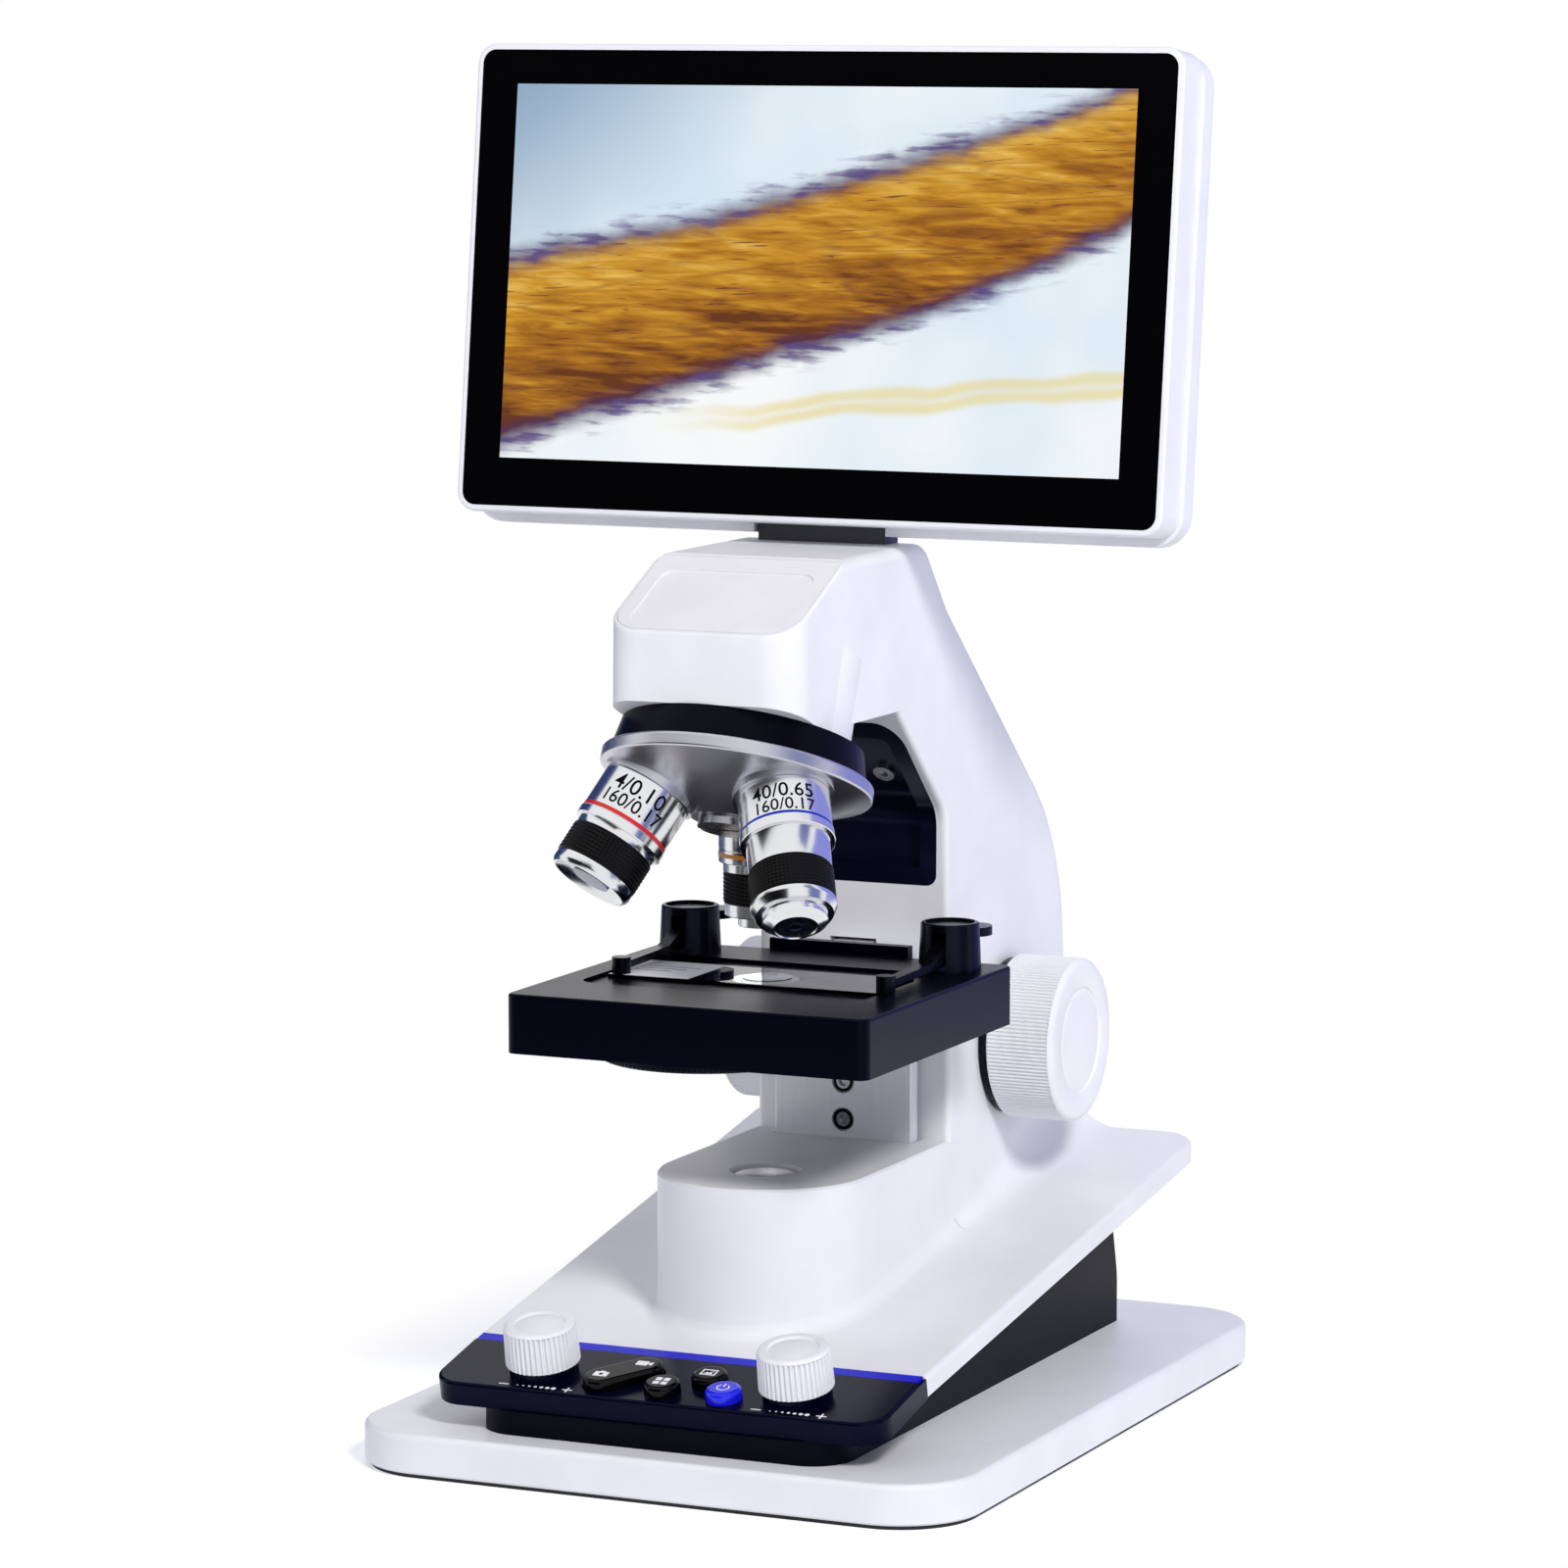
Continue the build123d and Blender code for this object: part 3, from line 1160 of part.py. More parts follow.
with BuildPart() as stage_plate:
    with BuildSketch(on_stage(0, (STAGE_FRONT + STAGE_REAR) / 2, STAGE_BOTTOM)):
        RectangleRounded(2 * STAGE_HALF, STAGE_REAR - STAGE_FRONT, STAGE_CORNER)
    extrude(amount=STAGE_TOP - STAGE_BOTTOM)
    fillet(faces().sort_by(Axis.Z)[-1].edges(), STAGE_EDGE)
    with BuildSketch(on_stage(0, (STAGE_FRONT + STAGE_REAR) / 2, STAGE_BOTTOM)):
        Rectangle(2 * (STAGE_HALF - STAGE_WALL), STAGE_REAR - STAGE_FRONT - 2 * STAGE_WALL)
    extrude(amount=STAGE_TOP - STAGE_DECK - STAGE_BOTTOM, mode=Mode.SUBTRACT)
    with BuildSketch(on_stage(0, OPTICAL_Y, STAGE_BOTTOM)):
        Circle(APERTURE_BOSS_R)
    extrude(amount=STAGE_TOP - STAGE_DECK - STAGE_BOTTOM)
    with BuildSketch(on_stage(IRIS_X, IRIS_Y, STAGE_BOTTOM)):
        Circle(IRIS_BOSS_R)
    extrude(amount=STAGE_TOP - STAGE_DECK - STAGE_BOTTOM)
    middle_x = (POCKET_X[0] + POCKET_X[1]) / 2
    middle_y = (POCKET_Y[0] + POCKET_Y[1]) / 2
    with BuildSketch(on_stage(middle_x, middle_y, STAGE_TOP - POCKET_DEPTH)):
        RectangleRounded(POCKET_X[1] - POCKET_X[0], POCKET_Y[1] - POCKET_Y[0], POCKET_CORNER)
    extrude(amount=POCKET_DEPTH, mode=Mode.SUBTRACT)
    with BuildSketch(on_stage(0, OPTICAL_Y, STAGE_BOTTOM)):
        Circle(APERTURE_R)
    extrude(amount=STAGE_TOP - STAGE_BOTTOM, mode=Mode.SUBTRACT)
    with BuildSketch(on_stage(IRIS_X, IRIS_Y, STAGE_BOTTOM)):
        Circle(IRIS_PIVOT_R)
    extrude(amount=IRIS_PIVOT_SINK, mode=Mode.SUBTRACT)

with BuildPart() as stage_carriage:
    with BuildSketch(Plane.XZ.offset(-STAGE_REAR)):
        with Locations((0, (CARRIER_BOTTOM + CARRIER_TOP) / 2)):
            Rectangle(2 * CARRIER_HALF, CARRIER_TOP - CARRIER_BOTTOM)
    extrude(amount=-CARRIER_THICK)

with BuildPart() as slide_plate:
    with BuildSketch(Plane.XZ.offset(-PLATE_FRONT)):
        with Locations((0, (PLATE_BOTTOM + PLATE_TOP) / 2)):
            Rectangle(2 * PLATE_HALF, PLATE_TOP - PLATE_BOTTOM)
    extrude(amount=-PLATE_THICK)
    chamfer(edges().filter_by(Axis.Z), PLATE_EDGE)
    for z in HEX_SCREW_Z:
        with BuildSketch(Plane.XZ.offset(-PLATE_FRONT)):
            with Locations((0, z)):
                Circle(SCREW_HOLE_R)
        extrude(amount=-PLATE_THICK, mode=Mode.SUBTRACT)
        with BuildSketch(Plane.XZ.offset(-PLATE_FRONT)):
            with Locations((0, z)):
                Circle(SCREW_HEAD_R + AIR)
        extrude(amount=-SCREW_SINK, mode=Mode.SUBTRACT)

with BuildPart() as focus_truck:
    for half, front, rear, bottom in (
        (TRUCK_HALF, PLATE_REAR, TRUCK_REAR, TRUCK_BOTTOM),
        (TRUCK_FLANGE_HALF, TRUCK_FLANGE_FRONT, RAIL_FRONT - AIR, TRUCK_BOTTOM + 6),
        (TRUCK_FLANGE_HALF, RAIL_FRONT + RAIL_THICK + AIR, TRUCK_REAR, TRUCK_BOTTOM + 6),
    ):
        with BuildSketch(Plane.XY.offset(bottom)):
            with Locations((0, (front + rear) / 2)):
                Rectangle(2 * half, rear - front)
        extrude(amount=PLATE_TOP - bottom)
    with BuildSketch(Plane.XZ.offset(-PLATE_REAR)):
        with Locations(*[(0, z) for z in HEX_SCREW_Z]):
            Circle(SCREW_PILOT_R)
    extrude(amount=-SCREW_LENGTH, mode=Mode.SUBTRACT)

tooth_count = int((RACK_TOP - RACK_BOTTOM) / (pi * GEAR_MODULE)) + 2
half_gap = pi * GEAR_MODULE / 4
slant = tan(PRESSURE_ANGLE)
with BuildPart() as focus_rack:
    with BuildSketch(Plane.YZ.offset(-RACK_WIDTH / 2)):
        with Locations(((TRUCK_REAR + RACK_PITCH_Y + RACK_ADDENDUM) / 2, (RACK_BOTTOM + RACK_TOP) / 2)):
            Rectangle(RACK_PITCH_Y + RACK_ADDENDUM - TRUCK_REAR, RACK_TOP - RACK_BOTTOM)
        for index in range(-tooth_count, tooth_count + 1):
            middle = FOCUS_Z + index * pi * GEAR_MODULE
            if RACK_BOTTOM - 1 < middle < RACK_TOP + 1:
                root = half_gap - RACK_DEDENDUM * slant
                mouth = half_gap + (RACK_ADDENDUM + 1) * slant
                Polygon(
                    (RACK_PITCH_Y - RACK_DEDENDUM, middle - root),
                    (RACK_PITCH_Y - RACK_DEDENDUM, middle + root),
                    (RACK_PITCH_Y + RACK_ADDENDUM + 1, middle + mouth),
                    (RACK_PITCH_Y + RACK_ADDENDUM + 1, middle - mouth),
                    align=None,
                    mode=Mode.SUBTRACT,
                )
    extrude(amount=RACK_WIDTH)

with BuildPart() as iris_pivot:
    with BuildSketch(on_stage(IRIS_X, IRIS_Y, STAGE_BOTTOM + IRIS_PIVOT_SINK)):
        Circle(IRIS_PIVOT_R)
    extrude(amount=-IRIS_PIVOT_SINK - IRIS_THICK - 2 * AIR)
    with BuildSketch(on_stage(IRIS_X, IRIS_Y, STAGE_BOTTOM - IRIS_THICK - 2 * AIR)):
        Circle(IRIS_PIVOT_HEAD_R)
    extrude(amount=-IRIS_PIVOT_HEAD_THICK)

with BuildPart() as iris_disc:
    with BuildSketch(on_stage(IRIS_X, IRIS_Y, STAGE_BOTTOM - IRIS_THICK - AIR)):
        Circle(IRIS_R)
        Circle(IRIS_PIVOT_R + RUN, mode=Mode.SUBTRACT)
        reach = sqrt(IRIS_X**2 + (OPTICAL_Y - IRIS_Y) ** 2)
        start = atan2(OPTICAL_Y - IRIS_Y, -IRIS_X)
        for index, radius in enumerate(IRIS_HOLES):
            angle = start + index * 2 * pi / len(IRIS_HOLES)
            with Locations((reach * cos(angle), reach * sin(angle))):
                Circle(radius, mode=Mode.SUBTRACT)
    extrude(amount=IRIS_THICK)
    rim = edges().filter_by(GeomType.CIRCLE).filter_by(lambda edge: edge.radius > IRIS_R - 0.1)
    chamfer(rim, IRIS_EDGE)

with BuildPart() as microscope_slide:
    with BuildSketch(on_stage(SLIDE_X, SLIDE_Y, STAGE_TOP - POCKET_DEPTH)):
        Rectangle(SLIDE_LENGTH, SLIDE_WIDTH)
    extrude(amount=SLIDE_THICK)

# ---------------------------------------------------------------- stage clips
with BuildPart() as clip_posts:
    for side in (-1, 1):
        with BuildSketch(on_stage(side * CLIP_X, CLIP_Y)):
            Circle(CLIP_POST_FOOT_R)
        extrude(amount=CLIP_POST_HEIGHT, taper=CLIP_POST_TAPER)
    fillet(faces().group_by(Axis.Z)[-1].edges(), CLIP_POST_EDGE)
    for side in (-1, 1):
        with BuildSketch(on_stage(side * CLIP_X, CLIP_Y, STAGE_TOP + CLIP_POST_HEIGHT)):
            Circle(CLIP_DISH_R)
        extrude(amount=-CLIP_DISH_DEPTH, mode=Mode.SUBTRACT)
        with BuildSketch(on_stage(side * CLIP_X, CLIP_Y, CLIP_WINDOW_Z[0])):
            Rectangle(CLIP_WINDOW_WIDTH, 3 * CLIP_POST_FOOT_R)
        extrude(amount=CLIP_WINDOW_Z[1] - CLIP_WINDOW_Z[0], mode=Mode.SUBTRACT)
        with BuildSketch(Plane.YZ.offset(side * CLIP_X - CLIP_PIN_HALF - STACK)):
            with Locations((CLIP_Y, CLIP_PIN_Z)):
                Circle(CLIP_PIN_R + RUN)
        extrude(amount=2 * (CLIP_PIN_HALF + STACK), mode=Mode.SUBTRACT)

clip_levers = {}
for name, side in (("clip_lever_left", -1), ("clip_lever_right", 1)):
    x = side * CLIP_X
    with BuildPart() as lever:
        # hub, web, arm and the paddle's neck, seen from the side
        with BuildSketch(Plane.YZ.offset(x - CLIP_LEVER_WIDTH / 2)):
            with Locations((CLIP_Y, CLIP_PIN_Z)):
                Circle(CLIP_HUB_R)
            Polygon(
                (CLIP_Y, CLIP_PIN_Z + CLIP_HUB_R - CLIP_HUB_DROP),
                CLIP_WEB,
                CLIP_WEB_END,
                (CLIP_FOOT_Y, CLIP_ARM_TIP[1]),
                (CLIP_FOOT_Y, CLIP_ARM_TIP[0]),
                (CLIP_WEB_END[0], CLIP_ARM_BOTTOM),
                (CLIP_WEB[0], CLIP_ARM_BOTTOM),
                (CLIP_Y, CLIP_PIN_Z - CLIP_HUB_R + CLIP_HUB_DROP),
                align=None,
            )
            Polygon(
                (CLIP_Y, CLIP_PIN_Z - CLIP_HUB_DROP),
                (CLIP_PADDLE_Y - 4, CLIP_PADDLE_Z - CLIP_PADDLE_THICK / 2),
                (CLIP_PADDLE_Y - 4, CLIP_PADDLE_Z + CLIP_PADDLE_THICK / 2),
                (CLIP_Y, CLIP_PIN_Z + CLIP_HUB_R - CLIP_HUB_DROP),
                align=None,
            )
        extrude(amount=CLIP_LEVER_WIDTH)
        with BuildSketch(on_stage(x, CLIP_FOOT_Y, CLIP_FOOT_BOTTOM)):
            Circle(CLIP_FOOT_R)
        extrude(amount=CLIP_FOOT_TOP - CLIP_FOOT_BOTTOM)
        with BuildSketch(on_stage(x, CLIP_PADDLE_Y, CLIP_PADDLE_Z - CLIP_PADDLE_THICK / 2)):
            Circle(CLIP_PADDLE_R)
        extrude(amount=CLIP_PADDLE_THICK)
        # the pivot pin, in one piece with the lever
        with BuildSketch(Plane.YZ.offset(x - CLIP_PIN_HALF)):
            with Locations((CLIP_Y, CLIP_PIN_Z)):
                Circle(CLIP_PIN_R)
        extrude(amount=2 * CLIP_PIN_HALF)
    clip_levers[name] = lever

# ---------------------------------------------------------------- focus drive
with BuildPart() as guide_rails:
    for side in (-1, 1):
        with BuildSketch(Plane.XY.offset(RAIL_BOTTOM)):
            with Locations((side * (RAIL_INNER + HOUSING_R) / 2, RAIL_FRONT + RAIL_THICK / 2)):
                Rectangle(HOUSING_R - RAIL_INNER, RAIL_THICK)
        extrude(amount=RAIL_TOP - RAIL_BOTTOM)
    with BuildSketch(ALONG):
        front_profile(WALL + RUN)
    extrude(amount=OVER, mode=Mode.INTERSECT)

with BuildPart() as focus_bushes:
    for side in (-1, 1):
        with BuildSketch(Plane.YZ.offset(side * BUSH_INNER_X)):
            with Locations((FOCUS_Y, FOCUS_Z)):
                Circle(BUSH_R - RUN)
                Circle(SHAFT_R + RUN, mode=Mode.SUBTRACT)
        extrude(amount=side * (FRICTION_RING_X + FRICTION_RING_THICK - BUSH_INNER_X))

with BuildPart() as friction_rings:
    for side in (-1, 1):
        with BuildSketch(Plane.YZ.offset(side * FRICTION_RING_X)):
            with Locations((FOCUS_Y, FOCUS_Z)):
                Circle(FRICTION_RING_R)
                Circle(BUSH_R, mode=Mode.SUBTRACT)
        extrude(amount=side * FRICTION_RING_THICK)

base_r = PITCH_R * cos(PRESSURE_ANGLE)
tip_r = PITCH_R + GEAR_MODULE
root_r = PITCH_R - 1.25 * GEAR_MODULE
involute_at_pitch = tan(PRESSURE_ANGLE) - PRESSURE_ANGLE
half_tooth = (pi * GEAR_MODULE / 2 - BACKLASH) / (2 * PITCH_R)
flank = []
for step in range(FLANK_STEPS + 1):
    radius = base_r + (tip_r - base_r) * step / FLANK_STEPS
    roll = acos(base_r / radius)
    flank.append((radius, half_tooth + involute_at_pitch - tan(roll) + roll))
flank.insert(0, (root_r, flank[0][1]))
pinion_outline = []
for tooth in range(PINION_TEETH):
    turn = pi + 2 * pi * tooth / PINION_TEETH
    pinion_outline += [(r * cos(turn - a), r * sin(turn - a)) for r, a in flank]
    pinion_outline += [(r * cos(turn + a), r * sin(turn + a)) for r, a in reversed(flank)]

with BuildPart() as focus_shaft:
    with BuildSketch(Plane.YZ.offset(-SHAFT_HALF)):
        with Locations((FOCUS_Y, FOCUS_Z)):
            Circle(SHAFT_R)
    extrude(amount=2 * SHAFT_HALF)
    with BuildSketch(Plane.YZ.offset(-PINION_HALF)):
        Polygon(*[(FOCUS_Y + y, FOCUS_Z + z) for y, z in pinion_outline], align=None)
    extrude(amount=2 * PINION_HALF)

with BuildPart() as focus_knobs:
    for side in (-1, 1):
        with BuildSketch(Plane.XY.offset(FOCUS_Z)):
            Polygon(
                (side * KNOB_START_X, FOCUS_Y),
                (side * KNOB_START_X, FOCUS_Y + FOCUS_KNOB_R - KNOB_BACK_STEP),
                (side * (KNOB_START_X + KNOB_BACK_STEP), FOCUS_Y + FOCUS_KNOB_R),
                (side * (KNOB_START_X + FOCUS_KNOB_LENGTH - FOCUS_KNOB_EDGE), FOCUS_Y + FOCUS_KNOB_R),
                (side * (KNOB_START_X + FOCUS_KNOB_LENGTH), FOCUS_Y + FOCUS_KNOB_R - FOCUS_KNOB_EDGE),
                (side * (KNOB_START_X + FOCUS_KNOB_LENGTH), FOCUS_Y),
                align=None,
            )
        revolve(axis=Axis((0, FOCUS_Y, FOCUS_Z), (1, 0, 0)))
    for side in (-1, 1):
        with BuildSketch(Plane.YZ.offset(side * KNOB_START_X)):
            with Locations((FOCUS_Y, FOCUS_Z)):
                Circle(SHAFT_R + RUN / 2)
        extrude(amount=side * (SHAFT_HALF - KNOB_START_X + STACK), mode=Mode.SUBTRACT)

# ---------------------------------------------------------------- control panel
def panel_outline(inset):
    half = DECK_HALF_FRONT - inset
    Polygon(
        (-half, -PANEL_LENGTH + inset),
        (half, -PANEL_LENGTH + inset),
        (half, -PANEL_SEAM - inset),
        (-half, -PANEL_SEAM - inset),
        align=None,
    )
    fillet(vertices().group_by(Axis.Y)[0], PANEL_CORNER - inset)


KNOBS_AT = ((-PANEL_KNOB_X, PANEL_KNOB_V), (PANEL_KNOB_X, PANEL_KNOB_V))
BUTTONS_AT = {"menu_button": MENU_AT, "gallery_button": GALLERY_AT, "power_button": POWER_AT}

with BuildPart() as control_panel:
    with BuildSketch(PANEL_UNDER):
        panel_outline(0)
    extrude(amount=PANEL_THICK)
    fillet(faces().sort_by(Axis((0, 0, 0), PANEL.z_dir))[-1].edges().sort_by(Axis.Y)[:-1], PANEL_EDGE)
    with BuildSketch(PANEL_UNDER):
        with Locations(*[(0, (PANEL_CAVITY_V[0] + PANEL_CAVITY_V[1]) / 2)]):
            Rectangle(2 * PANEL_CAVITY_X, PANEL_CAVITY_V[1] - PANEL_CAVITY_V[0])
    extrude(amount=PANEL_THICK - PANEL_SKIN, mode=Mode.SUBTRACT)
    with BuildSketch(PANEL_UNDER):
        with Locations(*KNOBS_AT):
            Rectangle(ENCODER_SIZE + 2 * AIR, ENCODER_SIZE + 2 * AIR)
    extrude(amount=PANEL_THICK - PANEL_SKIN, mode=Mode.SUBTRACT)
    with BuildSketch(PANEL):
        with Locations(*KNOBS_AT):
            Circle(PANEL_COLLAR_R)
    extrude(amount=PANEL_COLLAR_HEIGHT)
    with BuildSketch(PANEL.offset(PANEL_COLLAR_HEIGHT)):
        with Locations(*KNOBS_AT):
            Circle(KNOB_SHAFT_R + RUN)
    extrude(amount=-PANEL_COLLAR_HEIGHT - PANEL_THICK, mode=Mode.SUBTRACT)
    with BuildSketch(PANEL.offset(-STRIPE_THICK)):
        with Locations((0, -PANEL_SEAM - STRIPE_WIDTH / 2)):
            Rectangle(3 * DECK_HALF_FRONT, STRIPE_WIDTH)
    extrude(amount=2 * STRIPE_THICK, mode=Mode.SUBTRACT)
    with BuildSketch(PANEL):
        with Locations(*BUTTONS_AT.values()):
            Circle(BUTTON_R + BUTTON_GAP)
        with Locations(Location((ROCKER_AT[0], ROCKER_AT[1], 0), ROCKER_TURN)):
            SlotOverall(ROCKER_SPAN + 2 * (BUTTON_R + ROCKER_GAP), 2 * (BUTTON_R + ROCKER_GAP))
    extrude(amount=-PANEL_THICK, mode=Mode.SUBTRACT)

with BuildPart() as panel_stripe:
    with BuildSketch(PANEL.offset(-STRIPE_THICK)):
        with Locations((0, -PANEL_SEAM - STRIPE_WIDTH / 2)):
            Rectangle(2 * DECK_HALF_FRONT - 2 * PANEL_EDGE, STRIPE_WIDTH - FIT)
    extrude(amount=STRIPE_THICK)

with BuildPart() as rotary_encoders:
    with BuildSketch(PANEL_CEILING):
        with Locations(*KNOBS_AT):
            Rectangle(ENCODER_SIZE, ENCODER_SIZE)
    extrude(amount=-ENCODER_HEIGHT)
    with BuildSketch(PANEL_CEILING):
        with Locations(*KNOBS_AT):
            Circle(KNOB_SHAFT_R + AIR)
    extrude(amount=-ENCODER_HEIGHT + 1, mode=Mode.SUBTRACT)

panel_knobs = {}
for name, spot in zip(("zoom_knob", "brightness_knob"), KNOBS_AT):
    with BuildPart() as knob:
        with BuildSketch(PANEL.offset(PANEL_COLLAR_HEIGHT + AIR)):
            with Locations(spot):
                Circle(PANEL_KNOB_R)
        extrude(amount=PANEL_KNOB_HEIGHT, taper=PANEL_KNOB_TAPER)
        fillet(faces().sort_by(Axis((0, 0, 0), PANEL.z_dir))[-1].edges(), PANEL_KNOB_EDGE)
        with BuildSketch(PANEL.offset(PANEL_COLLAR_HEIGHT + 1)):
            with Locations(spot):
                Circle(KNOB_SHAFT_R)
        extrude(amount=-KNOB_SHAFT_LENGTH)
    panel_knobs[name] = knob

BUTTON_BOARD = PANEL.offset(-BUTTON_BOARD_DROP)
with BuildPart() as button_board:
    with BuildSketch(BUTTON_BOARD):
        with Locations((0, (BUTTON_BOARD_V[0] + BUTTON_BOARD_V[1]) / 2)):
            Rectangle(2 * PANEL_CAVITY_X - 1, BUTTON_BOARD_V[1] - BUTTON_BOARD_V[0])
    extrude(amount=-BOARD_THICK)
    with BuildSketch(BUTTON_BOARD):
        with Locations(*BUTTONS_AT.values()):
            Rectangle(SWITCH_SIZE, SWITCH_SIZE)
    extrude(amount=SWITCH_HEIGHT)
    with BuildSketch(BUTTON_BOARD):
        with Locations(Location((ROCKER_AT[0], ROCKER_AT[1], 0), ROCKER_TURN)):
            Rectangle(ROCKER_POST, 2 * BUTTON_R)
    extrude(amount=ROCKER_POST_HEIGHT)

buttons = {}
for name, spot in BUTTONS_AT.items():
    with BuildPart() as button:
        with BuildSketch(PANEL_CEILING.offset(-AIR)):
            with Locations(spot):
                Circle(BUTTON_R + BUTTON_FLANGE)
        extrude(amount=-BUTTON_FLANGE_THICK)
        with BuildSketch(PANEL_CEILING.offset(-AIR - BUTTON_FLANGE_THICK)):
            with Locations(spot):
                Circle(BUTTON_R)
        extrude(amount=PANEL_SKIN + AIR + BUTTON_FLANGE_THICK + BUTTON_RISE)
        fillet(faces().sort_by(Axis((0, 0, 0), PANEL.z_dir))[-1].edges(), BUTTON_EDGE)
    buttons[name] = button

with BuildPart() as rocker_button:
    with BuildSketch(PANEL_CEILING.offset(-ROCKER_DROP)):
        with Locations(Location((ROCKER_AT[0], ROCKER_AT[1], 0), ROCKER_TURN)):
            SlotOverall(ROCKER_SPAN + 2 * (BUTTON_R + BUTTON_FLANGE), 2 * (BUTTON_R + BUTTON_FLANGE))
    extrude(amount=-ROCKER_FLANGE_THICK)
    with BuildSketch(PANEL_CEILING.offset(-ROCKER_DROP - ROCKER_FLANGE_THICK)):
        with Locations(Location((ROCKER_AT[0], ROCKER_AT[1], 0), ROCKER_TURN)):
            SlotOverall(ROCKER_SPAN + 2 * BUTTON_R, 2 * BUTTON_R)
    extrude(amount=PANEL_SKIN + ROCKER_DROP + ROCKER_FLANGE_THICK + BUTTON_RISE)
    fillet(faces().sort_by(Axis((0, 0, 0), PANEL.z_dir))[-1].edges(), BUTTON_EDGE)

# ---------------------------------------------------------------- monitor
BEZEL_WIDTH = GLASS_WIDTH + 2 * BEZEL_RIM
BEZEL_HEIGHT = GLASS_HEIGHT + 2 * BEZEL_RIM
SHELL_WIDTH = BEZEL_WIDTH + 2 * SHELL_EXTRA_SIDE
SHELL_TOP = BEZEL_HEIGHT / 2 - GLASS_DROP
SHELL_BOTTOM = -BEZEL_HEIGHT / 2 - GLASS_DROP - SHELL_EXTRA_BOTTOM
SHELL_MIDDLE = (SHELL_TOP + SHELL_BOTTOM) / 2
MONITOR_SCREW_X = BEZEL_WIDTH / 2 - MONITOR_SCREW_INSET
MONITOR_SCREWS = [(x, v) for x in (-MONITOR_SCREW_X, MONITOR_SCREW_X) for v in MONITOR_SCREW_V]
BAY_HALF = NECK_HALF + BAY_GAP


def depth(amount):
    """Plane at a depth behind the front glass."""
    return SCREEN.offset(-amount)


with BuildPart() as screen_glass:
    with BuildSketch(SCREEN):
        with Locations((0, -GLASS_DROP)):
            RectangleRounded(GLASS_WIDTH, GLASS_HEIGHT, GLASS_CORNER)
    extrude(amount=-GLASS_THICK)

with BuildPart() as monitor_bezel:
    with BuildSketch(SCREEN):
        with Locations((0, -GLASS_DROP)):
            RectangleRounded(BEZEL_WIDTH, BEZEL_HEIGHT, GLASS_CORNER + BEZEL_RIM)
    extrude(amount=-BEZEL_DEPTH)
    fillet(faces().sort_by(Axis((0, 0, 0), SCREEN.z_dir))[-1].edges(), BEZEL_EDGE)
    with BuildSketch(SCREEN):
        with Locations((0, -GLASS_DROP)):
            RectangleRounded(GLASS_WIDTH + 2 * RUN, GLASS_HEIGHT + 2 * RUN, GLASS_CORNER)
    extrude(amount=-GLASS_THICK, mode=Mode.SUBTRACT)
    with BuildSketch(SCREEN):
        with Locations((0, -GLASS_DROP)):
            Rectangle(GLASS_WIDTH - 2 * BEZEL_LEDGE, GLASS_HEIGHT - 2 * BEZEL_LEDGE)
    extrude(amount=-BEZEL_LEDGE_DEPTH, mode=Mode.SUBTRACT)
    with BuildSketch(depth(BEZEL_LEDGE_DEPTH)):
        with Locations((0, -GLASS_DROP)):
            RectangleRounded(BEZEL_WIDTH - 2 * SHELL_WALL, BEZEL_HEIGHT - 2 * SHELL_WALL, GLASS_CORNER)
    extrude(amount=BEZEL_LEDGE_DEPTH - BEZEL_DEPTH, mode=Mode.SUBTRACT)
    with BuildSketch(depth(BEZEL_LEDGE_DEPTH)):
        with Locations(*MONITOR_SCREWS):
            Circle(POST_R)
    extrude(amount=BEZEL_LEDGE_DEPTH - BEZEL_DEPTH)
    with BuildSketch(depth(BEZEL_LEDGE_DEPTH + 1)):
        with Locations(*MONITOR_SCREWS):
            Circle(SCREW_PILOT_R)
    extrude(amount=BEZEL_LEDGE_DEPTH + 1 - BEZEL_DEPTH, mode=Mode.SUBTRACT)

with BuildPart() as lcd_module:
    with BuildSketch(depth(GLASS_THICK)):
        RectangleRounded(LCD_WIDTH, LCD_HEIGHT, 1)
    extrude(amount=-LCD_THICK)

with BuildPart() as display_board:
    with BuildSketch(depth(DISPLAY_BOARD_DEPTH)):
        RectangleRounded(DISPLAY_BOARD_WIDTH, DISPLAY_BOARD_HEIGHT, 2)
    extrude(amount=-BOARD_THICK)
    with BuildSketch(depth(GLASS_THICK + LCD_THICK)):
        with GridLocations(DISPLAY_BOARD_WIDTH - 8, DISPLAY_BOARD_HEIGHT - 8, 2, 2):
            Circle(STANDOFF_R)
    extrude(amount=GLASS_THICK + LCD_THICK - DISPLAY_BOARD_DEPTH)

